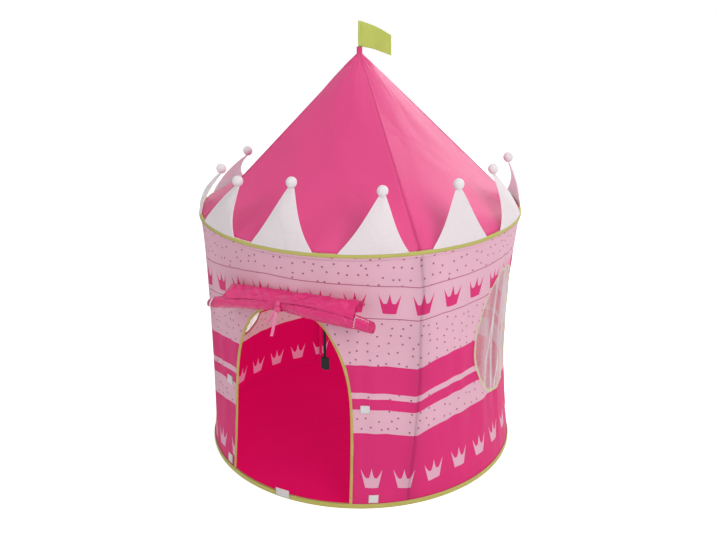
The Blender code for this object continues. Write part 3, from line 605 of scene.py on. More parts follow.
def wall_radius(azimuth, height):
    """From the axis to the middle of the wall's cloth, with its folds and small ripples."""
    azimuth, height = np.broadcast_arrays(np.asarray(azimuth, float), np.asarray(height, float))
    even = azimuth
    for _ in range(3):
        even = azimuth - seam_drift(even, height)
    off_middle = (even + panel_half) % (2 * panel_half) - panel_half
    quarter = np.floor((even + panel_half) / (2 * panel_half)).astype(int)
    flat = math.cos(panel_half) / np.cos(off_middle) - 1
    uneven = np.cos(3 * off_middle) * np.cos(2 * off_middle)
    waves = np.sin(math.pi * (off_middle + panel_half) / panel_half * 6)
    off_seam = panel_half - np.abs(off_middle)
    groove = seam_groove * np.exp(-(off_seam / 0.06) ** 2) * (1 - np.exp(-(off_seam / 0.011) ** 2))
    middle = wall_mid_corner * (1 + flatness_by_quarter[(quarter + 2) % 4] * flat) + fold_depth * waves * uneven
    share = np.clip((height - binding_width) / (wall_height - 2 * binding_width), 0, 1)
    swell = np.sin(math.pi * share)
    quiet = np.cos(2 * off_middle)
    ripple = np.sin(azimuth * 31 + 2.1 * np.sin(height * 9)) * np.sin(height * 17 + 3 * np.sin(azimuth * 4))
    ripple = ripple + 0.6 * np.sin(azimuth * 57 + height * 23) * np.sin(height * 41 - azimuth * 13)
    gathers = np.sin(azimuth * 96 + np.sin(azimuth * 23))
    gathers = gathers * (np.exp(-share / 0.05) + np.exp(-(1 - share) / 0.05))
    for from_hem in (share, 1 - share):
        gathers = gathers * np.sin(math.pi * np.clip(from_hem * 12, 0, 1) / 2)
    drape = ripple_depth * ripple * quiet * np.clip(swell * 2, 0, 1) + gather_depth * gathers
    soft = soft_fold_depth * np.sin(azimuth * 43 + 1.7 * np.sin(azimuth * 11) + height * 2) * quiet * swell
    off_bulge = -((azimuth - bulge_azimuth) / bulge_turn) ** 2 - ((height - bulge_height) / bulge_rise) ** 2
    bulge = bulge_depth * np.exp(off_bulge)
    return hem_inner + cloth_thickness / 2 + (middle + groove - hem_inner) * swell + drape + soft + bulge


def wall_point(azimuth, height, proud=0.0):
    """A point on the wall, or a little outside it."""
    return round_axis(wall_radius(azimuth, height) + proud, azimuth, height)


def wall_spot(side, aside, up, proud=0.0):
    """The same, by how far aside of a panel's middle it lies and how high, found in a few steps."""
    aside, up = np.broadcast_arrays(np.asarray(aside, float), np.asarray(up, float))
    first_radius = 0.5
    step = np.arcsin(aside / first_radius)
    for _ in range(6):
        step = np.arcsin(np.clip(aside / wall_radius(facings[side] + step, up), -0.95, 0.95))
    return wall_point(facings[side] + step, up, proud)


# The crown of the print, as a mask: a thin spike in the middle and one at either side, on a body
# that flares upwards
crown_group, got, out = new_group(
    "printed_crowns", [("Along", "Float", 0), ("Up", "Float", 0), ("Spacing", "Float", 0.1),
                       ("Shift", "Float", 0), ("Foot", "Float", 0)], [("Mask", "Float")])
crown_print_half_width, crown_print_height = 0.035, 0.066
crown_print_spacing = 2 * math.pi * cloth_metre / 32
t = crown_group
place = calc(t, "SUBTRACT", calc(t, "DIVIDE", got["Along"], got["Spacing"]), got["Shift"])
place = calc(t, "SUBTRACT", calc(t, "FRACT", calc(t, "ADD", place, 0.5)), 0.5)
aside = calc(t, "DIVIDE", calc(t, "ABSOLUTE", calc(t, "MULTIPLY", place, got["Spacing"])), crown_print_half_width)
rise = calc(t, "DIVIDE", calc(t, "SUBTRACT", got["Up"], got["Foot"]), crown_print_height)
inner = calc(t, "MAXIMUM", calc(t, "SUBTRACT", 1.0, calc(t, "DIVIDE", aside, 0.27)), 0.0)
outer = calc(t, "MAXIMUM", calc(t, "DIVIDE", calc(t, "SUBTRACT", aside, 0.5), 0.5), 0.0)
spikes = calc(t, "ADD", calc(t, "POWER", inner, 1.6), calc(t, "POWER", outer, 1.15))
top = calc(t, "MULTIPLY_ADD", spikes, 0.5, 0.5)
flare = calc(t, "MINIMUM", calc(t, "MULTIPLY_ADD", calc(t, "MAXIMUM", rise, 0.0), 0.42, 0.56), 1.0)
inside = calc(t, "MULTIPLY", calc(t, "LESS_THAN", rise, top), calc(t, "LESS_THAN", aside, flare))
above = calc(t, "GREATER_THAN", rise, calc(t, "MULTIPLY", calc(t, "MULTIPLY", aside, aside), 0.06))
plug(t, out["Mask"], calc(t, "MULTIPLY", inside, above))

# Scattered dots of the print, as a mask
dot_group, got, out = new_group("printed_dots", [("Cloth", "Vector", 0), ("Spacing", "Float", 0.03),
                                                 ("Size", "Float", 0.0034)], [("Mask", "Float")])
scale = calc(dot_group, "DIVIDE", 1.0, got["Spacing"])
apart = node(dot_group, "TexVoronoi", {"Vector": got["Cloth"], "Scale": scale, "Randomness": 0.62},
             voronoi_dimensions="2D").outputs["Distance"]
reach = calc(dot_group, "DIVIDE", got["Size"], got["Spacing"])
plug(dot_group, out["Mask"], calc(dot_group, "LESS_THAN", apart, reach))


def banded(tree, height, stops):
    """A colour for each height. Each stop is the height from which it holds, and the colour."""
    ramp = node(tree, "ValToRGB", {0: calc(tree, "DIVIDE", height, wall_height)})
    bands = ramp.color_ramp
    bands.interpolation = "CONSTANT"
    for i, (low, color) in enumerate(stops):
        mark = bands.elements[i] if i < 2 else bands.elements.new(low / wall_height)
        mark.position = low / wall_height
        mark.color = (*color, 1)
    return ramp.outputs[0]


def inked(tree, color, mask, ink):
    """A colour with one more ink printed over it where the mask is 1."""
    return node(tree, "Mix", {0: mask, 6: color, 7: (*ink, 1)}, data_type="RGBA").outputs[2]


def print_cloth(name, light, deep, dot, rule, pale_crown, roughness, fade, through=0.0):
    """Printed taffeta: dotted and plain bands with two rows of crowns, darkened along its seams with painted shade,
    and its weave and creases. Where through is set, it glows in its own colour: painted light for light coming
    through the cloth.
    """
    made, tree, main = new_material(name, roughness, Sheen_Weight=0.04, Sheen_Roughness=0.4,
                                    Specular_IOR_Level=0.15)
    place = cloth_map(tree)
    parts = node(tree, "SeparateXYZ", {0: place}).outputs
    along, up = parts[0], parts[1]
    no, yes = (0, 0, 0), (1, 1, 1)
    # The colour of each band, from its lower edge up, and whether it has dots
    bands = ((0.0, deep, no), (0.239, light, yes), (0.316, deep, no), (0.353, light, yes), (0.370, deep, no),
             (0.462, light, yes), (0.618, rule, no), (0.6205, light, no), (0.722, rule, no), (0.7245, light, yes))
    color, dotted = (banded(tree, up, [(band[0], band[k]) for band in bands]) for k in (1, 2))
    dots = placed(tree, dot_group, {"Cloth": place, "Spacing": 0.031, "Size": 0.0031})
    color = inked(tree, color, calc(tree, "MULTIPLY", dots, dotted), dot)
    for shift, foot, ink in ((0.146, 0.637, deep), (-0.372, 0.059, pale_crown)):
        row = placed(tree, crown_group, {"Along": along, "Up": up, "Spacing": crown_print_spacing,
                                         "Shift": shift, "Foot": foot})
        color = inked(tree, color, row, ink)
    factor = placed(tree, fade_group, {"Cloth": place, "Depth": fade})
    # Darker along the panels' seams: a thin seam line, partly the seam's own line and partly painted shade, and a
    # wider painted shade beside it
    seam = node(tree, "Attribute", attribute_name="seam_line_and_painted_shade").outputs["Fac"]
    dyed = tinted(tree, color, calc(tree, "MULTIPLY", factor, calc(tree, "MULTIPLY_ADD", seam, -0.22, 1.0)))
    plug(tree, main.inputs["Base Color"], dyed)
    if through:
        painted_glow_through(tree, main, dyed, through)
    weave = placed(tree, weave_group, {"Cloth": place, "Pitch": 0.0008})
    creases = placed(tree, crease_group, {"Cloth": place, "Size": 0.16})
    bumped(tree, main, [(weave, 0.00008), (creases, 0.0022)])
    return made


print_outside = print_cloth("printed_outside", light=(0.79, 0.46, 0.57), deep=(0.715, 0.032, 0.185),
                            dot=(0.36, 0.10, 0.18), rule=(0.48, 0.14, 0.24), pale_crown=(0.78, 0.44, 0.56),
                            roughness=0.62, fade=0.14)
# The inside is the same print in lower colours that glow: painted light for the light that comes through the cloth
print_inside = print_cloth("printed_inside", light=(0.31, 0.18, 0.20), deep=(0.31, 0.0006, 0.045),
                           dot=(0.20, 0.06, 0.10), rule=(0.25, 0.03, 0.07), pale_crown=(0.35, 0.11, 0.18),
                           roughness=0.7, fade=0.1, through=1.25)

# How much higher than level the print lies in metres, by azimuth in degrees: the panels were cut a
# little off the print, and the cloth hangs unevenly. One line for its low bands, one for its high ones.
low_slips = ((-225, -0.020), (-196, -0.012), (-135, -0.014), (-124, -0.006), (-113, 0.0), (-90, 0.006),
             (-67, 0.011), (-55, 0.008), (-45, -0.004), (-38, 0.011), (-28, 0.022), (10, 0.025), (45, 0.010),
             (135, -0.020))
high_slips = ((-225, -0.010), (-135, -0.025), (-129, -0.022), (-110, 0.004), (-97, 0.017), (-67, 0.012),
              (-51, 0.002), (-45, -0.006), (-35, 0.001), (-10, 0.006), (45, 0.0), (135, -0.010))
print_starts = {"front": 0.0, "right": 0.0, "back": -0.033, "left": -0.033}


def print_place(side, azimuth, height):
    """Where on the printed cloth a point of a wall lies, in metres."""
    degrees = (np.degrees(azimuth) + 225) % 360 - 225
    low, high = (np.interp(degrees, *zip(*slips)) for slips in (low_slips, high_slips))
    slip = low + (high - low) * np.clip((height - 0.48) / 0.12, 0, 1)
    return np.stack([azimuth * cloth_metre + print_starts[side], height - slip], axis=-1)


# The doorway and the windows, as outlines on their panels. The doorway lies left of the front panel's
# middle, and its arch leans back to it.
door_half_width, door_spring_height, door_top_height = 0.213, 0.25, 0.635
door_narrowing_share, door_arch_power = 0.09, 0.8
door_offset, door_lean, door_lean_power = -0.0185, 0.026, 6
window_half_width, window_half_height, window_middle_height = 0.145, 0.208, 0.468
edge_tape_width = 0.012
edge_tape_shown = 0.0082
turn = np.linspace(math.pi, 0, 97)
arch_across = np.sign(np.cos(turn)) * np.abs(np.cos(turn)) ** door_arch_power
arch_up = door_spring_height + (door_top_height - door_spring_height) * np.sin(turn) ** door_arch_power
jamb_up = np.linspace(binding_width + 0.0003, door_spring_height, 25)[:-1]
door_across = np.concatenate([np.full_like(jamb_up, -1), arch_across, np.full_like(jamb_up, 1)])
door_up = np.concatenate([jamb_up, arch_up, jamb_up[::-1]])
share = door_up / door_top_height
door_aside = door_offset + door_lean * share**door_lean_power
door_aside = door_aside + door_across * door_half_width * (1 - door_narrowing_share * share)
door_line = np.stack([door_aside, door_up], axis=1)
turn = -np.linspace(0, 2 * math.pi, 145)[:-1]
window_line = np.stack([window_half_width * np.cos(turn),
                        window_middle_height + window_half_height * np.sin(turn)], axis=1)


def widened(line, distance, closed):
    """An outline moved outwards, square to its own direction."""
    before, after = np.roll(line, 1, axis=0), np.roll(line, -1, axis=0)
    if not closed:
        before[0], after[-1] = line[0], line[-1]
    along = after - before
    along /= np.linalg.norm(along, axis=1, keepdims=True)
    return line + np.stack([-along[:, 1], along[:, 0]], axis=1) * distance


def made_whole(mesh, fill=False, merge=0.0):
    """Closes a mesh's open ends or merges its doubles, where asked, and turns its faces outwards."""
    bm = bmesh.new()
    bm.from_mesh(mesh)
    if fill:
        bmesh.ops.holes_fill(bm, edges=[edge for edge in bm.edges if edge.is_boundary])
    if merge:
        bmesh.ops.remove_doubles(bm, verts=bm.verts[:], dist=merge)
    bmesh.ops.recalc_face_normals(bm, faces=bm.faces[:])
    bm.to_mesh(mesh)
    bm.free()
    return mesh


def cut_opening(panel, outline, side):
    """Cuts a prism of the outline out of the panel."""
    facing = facings[side]
    out = np.array([math.cos(facing), math.sin(facing), 0])
    left = np.array([-math.sin(facing), math.cos(facing), 0])
    flat = outline[:, :1] * left + outline[:, 1:] * np.array([0, 0, 1.0])
    cut_from, cut_to = 0.3, 0.7
    near, far = flat + out * cut_from, flat + out * cut_to
    mesh = bpy.data.meshes.new("cutter")
    count = len(outline)
    faces = [tuple(range(count)), tuple(range(2 * count - 1, count - 1, -1))]
    faces += [(i, count + i, count + (i + 1) % count, (i + 1) % count) for i in range(count)]
    mesh.from_pydata(np.concatenate([near, far]).tolist(), [], faces)
    cutter = bpy.data.objects.new("cutter", made_whole(mesh))
    scene.collection.objects.link(cutter)
    step = panel.modifiers.new("opening", "BOOLEAN")
    step.operation, step.solver, step.object = "DIFFERENCE", "EXACT", cutter
    settled(panel)
    bpy.data.objects.remove(cutter, do_unlink=True)


def gathered(made):
    """Gives the piece a mesh of its own."""
    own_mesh(made)


walls = {}
wall_cloth_thickness = 0.0009
hem_low, hem_high = 0.0072, wall_height - 0.0072
for side, facing in facings.items():
    u, v = across(128, 96)
    u = 0.4 * u + 0.6 * (0.5 - 0.5 * np.cos(math.pi * u))
    height = hem_low + (hem_high - hem_low) * v
    even = facing + (2 * u - 1) * (panel_half - 0.00015)
    azimuth = even + seam_drift(even, height)
    off_seam = (panel_half - np.abs(even - facing)) * cloth_metre
    name = f"wall_cloth_{side}"
    cloth = print_place(side, azimuth, height)
    panel = link(name, grid_mesh(name, wall_point(azimuth, height), cloth), [print_outside, print_inside])
    # The seam's folded edges are painted darker: a thin dark line, partly the seam's own line and partly painted
    # shade, with a wider painted shade beside it
    seam_shade = np.exp(-(off_seam / 0.005) ** 2) + 0.5 * np.exp(-(off_seam / 0.03) ** 2)
    seam_line_and_painted_shade = panel.data.attributes.new("seam_line_and_painted_shade", "FLOAT", "POINT")
    seam_line_and_painted_shade.data.foreach_set("value", seam_shade.ravel())
    thickened(panel, wall_cloth_thickness, inside=True)
    if side == "front":
        outline = widened(door_line, edge_tape_width * 0.5, False)
        below = -0.05
        outline = np.concatenate([[[outline[0][0], below]], outline, [[outline[-1][0], below]]])
        cut_opening(panel, outline, side)
    elif side in ("right", "left"):
        cut_opening(panel, widened(window_line, edge_tape_width * 0.5, True), side)
    smoothed(panel.data)
    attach(panel, "tent_base")
    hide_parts(f"wall_{side}")
    walls[side] = panel

# The wall's top hem is turned over the outer lip of the upper tape and sewn down
hem_outs = (hem_radius + 0.0012, grip_out + tape_thickness + 0.0008, tent_radius + 0.0006)
hem_downs = (binding_width + 0.0026, binding_width + 0.0004, shoulder + 0.0012)
hem_steps, hem_thickness = (0, 0.4, 1), 0.0007
for side, facing in facings.items():
    turn, step = across(64, 6)
    azimuth = facing + (2 * turn - 1) * panel_half
    radius = np.interp(step, hem_steps, hem_outs) + tape_pucker * puckers(azimuth) * (1 - step)
    height = wall_height - np.interp(step, hem_steps, hem_downs)
    name = f"eaves_hem_{side}"
    points = round_axis(radius, azimuth, height)
    hem = link(name, grid_mesh(name, points, print_place(side, azimuth, height)), [print_outside])
    thickened(hem, hem_thickness)
    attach(hem, "eaves")

# Tape round the doorway and the windows. Lime twill folded over the cloth's raw edge and stitched
# down, with the wall's own cloth turned back over the tape's outer part.
tape_half = 0.0018
edge_section = rounded([(0.0, -tape_half * 0.6), (0.0012, -tape_half), (edge_tape_width, -tape_half),
                        (edge_tape_width, tape_half), (0.0012, tape_half), (0.0, tape_half * 0.6)], 1)
pale_lime_twill = tape_twill("pale_lime_twill", (0.64, 0.63, 0.38))


def edge_tape(name, outline, closed, side, material, node_name):
    """Tape that follows an opening's edge on the curved wall."""
    loops = []
    along = arc_shares(outline)
    pucker = 0.00025 * np.sin(along * 2 * math.pi / 0.011)
    for distance, proud in edge_section:
        moved = widened(outline, distance, closed)
        loops.append(wall_spot(side, moved[:, 0], moved[:, 1], proud + pucker * (proud > 0)))
    cloth = xyz(along[None, :], arc_shares(edge_section)[:, None])
    mesh = grid_mesh(name, np.stack(loops), cloth, close_u=closed, close_v=True)
    made = link(name, mesh if closed else made_whole(mesh, fill=True), [material])
    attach(made, "tent_base")
    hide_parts(node_name)
    gathered(made)
    return made


def turned_hem(name, outline, closed, side):
    """The wall's own edge, turned back and sewn down over the outer part of such a tape."""
    low, high = edge_tape_shown, edge_tape_width + 0.0016
    section = rounded([(low, -tape_half - 0.0006), (high - 0.0012, -tape_half - 0.0004), (high, 0.0),
                       (high - 0.0012, tape_half + 0.0004), (low, tape_half + 0.0006), (low - 0.0004, 0.0)], 1)
    pucker = 0.0002 * np.sin(arc_shares(outline) * 2 * math.pi / 0.009)
    loops, maps = [], []
    for distance, proud in section:
        moved = widened(outline, distance, closed)
        points = wall_spot(side, moved[:, 0], moved[:, 1], proud + pucker * np.sign(proud))
        turned = np.arctan2(points[:, 1], points[:, 0]) - facings[side]
        turned = (turned + math.pi) % (2 * math.pi) - math.pi + facings[side]
        loops.append(points)
        maps.append(print_place(side, turned, points[:, 2]))
    mesh = grid_mesh(name, np.stack(loops), np.stack(maps), close_u=closed, close_v=True)
    for face in made_whole(mesh, fill=True).polygons:
        face.material_index = int(face.normal.xy.dot(face.center.xy) < 0)
    made = link(name, mesh, [print_outside, print_inside])
    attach(made, "tent_base")
    gathered(made)


def edge_stitches(name, outline, closed, side, thread):
    """A row of stitches along the outer edge of such a tape, on both faces."""
    moved = widened(outline, edge_tape_shown - 0.0022, closed)
    rows = []
    thread_rise = 0.0001
    for proud in (tape_half + thread_rise, -tape_half - thread_rise):
        row = wall_spot(side, moved[:, 0], moved[:, 1], proud)
        rows.append(np.concatenate([row, row[:1]]) if closed else row)
    gathered(stitches(name, rows, thread, "tent_base"))


warm_lime_twill = tape_twill("warm_lime_twill", (0.57, 0.46, 0.12))
edge_tape("doorway_tape", door_line, False, "front", warm_lime_twill, "door_binding")
turned_hem("doorway_hem", door_line, False, "front")
edge_stitches("doorway_stitches", door_line, False, "front", lime_thread)
for side in ("right", "left"):
    edge_tape(f"window_tape_{side}", window_line, True, side, pale_lime_twill, f"window_binding_{side}")
    turned_hem(f"window_hem_{side}", window_line, True, side)
    edge_stitches(f"window_stitches_{side}", window_line, True, side, lime_thread)

# Window nets. Sheer knitted polyester net with opaque woven stripes that run up it at a slant. It is
# stretched over the opening and held in the window's tape.
thread_tree, got, thread_inputs = new_tree(
    "threads_along_lines", [("Lines", "Geometry", None), ("Width", "Float", 0.0006),
                            ("Height", "Float", 0.0003), ("Material", "Material", None)], "Threads")
line = geo(thread_tree, "GeometryNodeMeshToCurve", {"Mesh": got["Lines"]})
section = geo(thread_tree, "GeometryNodeCurvePrimitiveQuadrilateral",
              {"Width": got["Width"], "Height": got["Height"]})
spun = geo(thread_tree, "GeometryNodeCurveToMesh", {"Curve": line, "Profile Curve": section, "Fill Caps": True})
spun = geo(thread_tree, "GeometryNodeSetMaterial", {"Geometry": spun, "Material": got["Material"]})
thread_tree.links.new(spun, thread_tree.nodes.new("NodeGroupOutput").inputs[0])

net_white = thread_material("net_thread", (0.80, 0.75, 0.80))
net_pitch, net_thread_width, net_thread_height, net_lift = 0.0031, 0.0009, 0.00022, 0.0001
shortest_thread = 0.004


def chord(place, half_length, half_width):
    """Half the length of a line across the window, at a distance from its middle."""
    return half_length * math.sqrt(max(1 - (place / half_width) ** 2, 0))


net_stripe = woven("net_stripe", (0.86, 0.84, 0.84), 0.75, pitch=0.0012, depth=0.0003)
stripe_thickness, stripe_proud, stripe_step = 0.0002, 0.0004, 0.00012
# How far aside each stripe lies at the window's foot, middle and top, and how wide it is
net_stripes = ((-0.100, -0.057, -0.045, 0.0048), (-0.008, 0.024, 0.010, 0.0052), (0.090, 0.112, 0.125, 0.0048))
for side in ("right", "left"):
    lines = []
    for place in np.arange(-46, 47) * net_pitch:
        reach = chord(place, window_half_height, window_half_width)
        if reach > shortest_thread:
            up = window_middle_height + np.linspace(-reach, reach, 13)
            lines.append(wall_spot(side, place, up, net_lift))
    for place in np.arange(-67, 68) * net_pitch:
        reach = chord(place, window_half_width, window_half_height)
        if reach > shortest_thread:
            aside = np.linspace(-reach, reach, 13)
            lines.append(wall_spot(side, aside, window_middle_height + place, -net_lift))
    net = node_built(line_object(f"window_net_cloth_{side}", lines), thread_tree, thread_inputs,
                     {"Width": net_thread_width, "Height": net_thread_height, "Material": net_white})
    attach(net, "tent_base")
    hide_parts(f"window_net_{side}")
    gathered(net)
    mirror = 1 if side == "right" else -1
    for k, (low, middle, high, width) in enumerate(net_stripes, start=1):
        rise = np.linspace(-1, 1, 121)
        aside = middle + (high - low) / 2 * rise + ((high + low) / 2 - middle) * rise**2
        kept = (aside / window_half_width) ** 2 + rise**2 < 1.03
        u, rise = np.meshgrid(np.linspace(-0.5, 0.5, 4), rise[kept])
        aside = mirror * (aside[kept][:, None] + u * width)
        up = window_middle_height + rise * window_half_height
        points = wall_spot(side, aside, up, stripe_proud + stripe_step * k)
        name = f"net_stripe_{side}_{k}"
        strip = link(name, grid_mesh(name, points, xyz(aside, up)), [net_stripe])
        thickened(strip, stripe_thickness)
        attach(strip, "tent_base")
        gathered(strip)

# Hook-and-loop tabs. Small squares of white nylon tape, sewn flat to the wall beside the doorway and
# over the lower tape at its sill. The lowered flap is held shut by them.
hook_white, tree, main = new_material("hook_and_loop", 0.95, Sheen_Weight=0.3)
place = node(tree, "TexCoord").outputs["Object"]
hooks = node(tree, "TexVoronoi", {"Vector": place, "Scale": 700.0}).outputs["Distance"]
shade = calc(tree, "MULTIPLY_ADD", hooks, -0.25, 1.05)
plug(tree, main.inputs["Base Color"], tinted(tree, (0.83, 0.82, 0.83), shade))
bumped(tree, main, [(hooks, 0.0006)])
# How far aside of the front wall's middle each lies, how high, and its width and height
tabs = ((0.226, 0.328, 0.026, 0.026), (0.260, 0.032, 0.026, 0.026), (-0.264, 0.313, 0.026, 0.030),
        (-0.262, 0.036, 0.024, 0.028))
tab_thickness, tab_proud = 0.0016, 0.0018
for k, (aside, up, width, height) in enumerate(tabs, start=1):
    u, v = across(8, 8)
    low = max(up - height / 2, binding_width + 0.001)
    points = wall_spot("front", aside + (u - 0.5) * width, low + v * height, tab_proud)
    name = f"hook_tab_{k}"
    tab = link(name, grid_mesh(name, points, xyz(u * width, v * height)), [hook_white])
    thickened(tab, tab_thickness)
    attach(tab, "tent_base")
    gathered(tab)
sill_tab_aside, sill_tab_low, sill_tab_width, sill_tab_height = -0.019, 0.005, 0.048, 0.027
u, v = across(12, 8)
azimuth = facings["front"] + (sill_tab_aside + (u - 0.5) * sill_tab_width) / tent_radius
points = round_axis(tent_radius + 0.0012, azimuth, sill_tab_low + sill_tab_height * v)
cloth = xyz(u * sill_tab_width, v * sill_tab_height)
sill_tab = link("hook_tab_sill", grid_mesh("hook_tab_sill", points, cloth), [hook_white])
thickened(sill_tab, tab_thickness)
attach(sill_tab, "tent_base")

# The four walls get meshes of their own in the same way, and each was cut from a plain length with its hems
for side in facings:
    gathered(walls[side])

# Roof panels. Four gores of hot pink taffeta, sewn into the upper tape and to each other over the
# roof poles, and gathered to a neck on the hub.
roof_height = 1.31
roof_neck_height = 0.022
roof_tip_radius = 0.0075
roof_edge_radius = hem_inner - 0.003
roof_edge_height = wall_height + 0.0003
roof_slope = math.atan2(roof_height - roof_edge_height, roof_edge_radius - roof_tip_radius)
roof_slant = (roof_height - roof_edge_height) / math.sin(roof_slope)
roof_cloth_thickness, roof_ripple, roof_lift = 0.0009, 0.0022, 0.0008
neck_steepness = 8
roof_pink = woven("roof_cloth", (0.72, 0.046, 0.215), 0.5, pitch=0.0008, depth=0.00008, creases=0.003,
                  crease_size=0.2, fade=0.12, Sheen_Weight=0.1)
# The roof's inside glows in its own colour: painted light for the light that comes through the taffeta
roof_inside = woven("roof_cloth_inside", (0.33, 0.003, 0.05), 0.65, pitch=0.0008, depth=0.00008, creases=0.003,
                    crease_size=0.2, fade=0.1, through=1.2)


def roof_point(azimuth, along, proud=0.0):
    """A point on the roof: along runs from 0 at the eaves to 1 at the neck."""
    azimuth, along = np.broadcast_arrays(np.asarray(azimuth, float), np.asarray(along, float))
    off_middle = (azimuth + panel_half) % (2 * panel_half) - panel_half
    up_roof = np.clip(along, 0, 1)
    ridge = roof_edge_radius + (roof_tip_radius - roof_edge_radius) * up_roof
    drawn = np.sin(math.pi * np.clip(up_roof / 0.92, 0, 1)) * 0.66
    flat = 1 + drawn * (math.cos(panel_half) / np.cos(off_middle) - 1)
    quiet = np.cos(2 * off_middle) * np.sin(math.pi * up_roof)
    ripple = np.sin(azimuth * 9 + 4 * up_roof) * np.sin(up_roof * 9 + azimuth * 2)
    ripple = ripple + 0.7 * np.sin(azimuth * 23) * np.exp(-up_roof / 0.12)
    ripple = ripple + 0.8 * np.sin(azimuth * 28) * up_roof**6
    at_neck = 0.0016 * np.sin(azimuth * 20 + 1.3 * np.sin(azimuth * 3)) * np.exp(-((up_roof - 0.955) / 0.04) ** 2)
    radius = ridge * flat + roof_ripple * ripple * quiet + at_neck
    above = np.clip(along - 1, 0, 1) * neck_steepness
    height = roof_edge_height + (roof_height - roof_edge_height) * up_roof + above * roof_neck_height
    out = roof_lift + proud
    height = height + out * math.cos(roof_slope) * (above <= 0)
    return round_axis(radius + out * math.sin(roof_slope), azimuth, height)


for side, facing in facings.items():
    u, v = across(64, 96)
    azimuth = facing + (2 * u - 1) * (panel_half - 0.0006)
    along = v * (1 + 1 / neck_steepness)
    aside = (azimuth - facing) * roof_edge_radius * (1.05 - np.clip(along, 0, 1)) + facing
    name = f"roof_cloth_{side}"
    mesh = grid_mesh(name, roof_point(azimuth, along), xyz(aside, along * roof_slant))
    gore = link(name, mesh, [roof_pink, roof_inside])
    thickened(gore, roof_cloth_thickness, inside=True)
    gore.data.shade_smooth()
    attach(gore, "eaves")
    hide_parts(f"roof_gore_{side}")

# Roof seams. The gores' edges are folded together and stand as a thin rib of the same taffeta over
# each roof pole, with a row of stitches on either side.
seam_pink = woven("roof_seam", (0.66, 0.06, 0.22), 0.6, pitch=0.0008, depth=0.0001)


def tube(name, path, radius, material, sides=8):
    """A round cord of cloth along a path of points, closed at both ends. radius may vary along it."""
    path = np.asarray(path, float)
    count = len(path)
    radii = np.broadcast_to(np.asarray(radius, float), (count,))
    along = np.gradient(path, axis=0)
    along /= np.linalg.norm(along, axis=1, keepdims=True)
    side_way = np.cross(along, np.array([0.13, 0.21, 0.97]))
    side_way /= np.linalg.norm(side_way, axis=1, keepdims=True)
    up_way = np.cross(side_way, along)
    turn = np.arange(sides) * 2 * math.pi / sides
    ringed = side_way[:, None] * np.cos(turn)[None, :, None] + up_way[:, None] * np.sin(turn)[None, :, None]
    points = path[:, None] + ringed * radii[:, None, None]
    cloth = xyz(arc_shares(path)[:, None], (turn * radii.mean())[None, :])
    return link(name, made_whole(grid_mesh(name, points, cloth, close_u=True), fill=True), [material])


seam_azimuths = [-panel_half + k * 2 * panel_half for k in range(4)]
seam_rib_radius, seam_rise, seam_stitch_aside = 0.0014, 0.0006, 0.006
for k, azimuth in enumerate(seam_azimuths, start=1):
    along = np.linspace(0.004, 1.0, 60)
    rib = tube(f"roof_seam_{k}", roof_point(azimuth, along, seam_rise), seam_rib_radius, seam_pink)
    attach(rib, "eaves")
    # The rows stay at one distance from the rib as the roof narrows, and end below the neck
    step = seam_stitch_aside / (0.52 * (1.02 - along))
    rows = [roof_point(azimuth + sign * step, along, seam_rise)[:-6] for sign in (-1, 1)]
    stitches(f"roof_seam_stitches_{k}", rows, pink_thread, "eaves")

# Crown points. Twelve padded points of white taffeta with piped edges and a stuffed ball on each.
# They are sewn into the upper tape in front of the roof, and lean in and aside as the padding lets them.
crown_count = 12
crown_length = 0.165
crown_half_width, crown_tip_half_width = 0.100, 0.008
crown_edge_thickness, crown_plumpness, crown_sag = 0.0026, 0.009, 0.0016
crown_piping_radius, crown_ball_radius = 0.0014, 0.016
crown_lift = 0.0003
crown_lean_shares = (0.41, 0.27, 0.62, 0.30, 0.30, 0.45, 0.66, 0.45, 0.27, 0.36, 0.21, 0.05)
crown_slip_shares = (-0.08, -0.42, 0.58, 0.08, -0.05, -0.24, 0.21, 0.50, 0.42, 0.08, 0.18, -0.09)
crown_white = woven("crown_cloth", (0.80, 0.72, 0.75), 0.55, depth=0.00009, creases=0.002, crease_size=0.05,
                    fade=0.1, Sheen_Weight=0.2)
# The backs of the points are the same white taffeta, given their own colour and a painted glow that lights their
# shaded side
crown_back_painted_glow = woven("crown_back_painted_glow", (0.64, 0.72, 0.74), 0.6, depth=0.00009, creases=0.002, crease_size=0.05,
                   fade=0.12, through=0.34)
piping = woven("crown_piping", (0.86, 0.74, 0.78), 0.6, depth=0.0001)
ball_white = woven("crown_ball", (0.85, 0.80, 0.82), 0.7, depth=0.0001, creases=0.0012, crease_size=0.012,
                   Sheen_Weight=0.4)
crown_middle = tent_radius - 0.003
tallest_crown_point = 9


def crown_spot(index, across_share, up_share, depth):
    """A point in a crown point: across from -1 to 1, up from 0 to 1, and proud of its middle."""
    azimuth = 2 * math.pi * index / crown_count
    lean = crown_lean_shares[index] * crown_length
    taller = 1.09 if index == tallest_crown_point else 1.0
    slip = crown_slip_shares[index] * crown_length
    rise = (crown_length - lean * crown_lean_shares[index] / 2) * math.sqrt(1 - crown_slip_shares[index] ** 2)
    half = crown_half_width * (1 - up_share) + crown_tip_half_width * up_share
    half = half * (1 - 0.10 * np.sin(math.pi * up_share))
    aside = across_share * half + slip * up_share**1.15
    radius = crown_middle - lean * (0.4 * up_share + 0.6 * up_share**2) + depth
    return round_axis(radius, azimuth + aside / crown_middle,
                      wall_height + crown_lift + up_share * rise * taller)


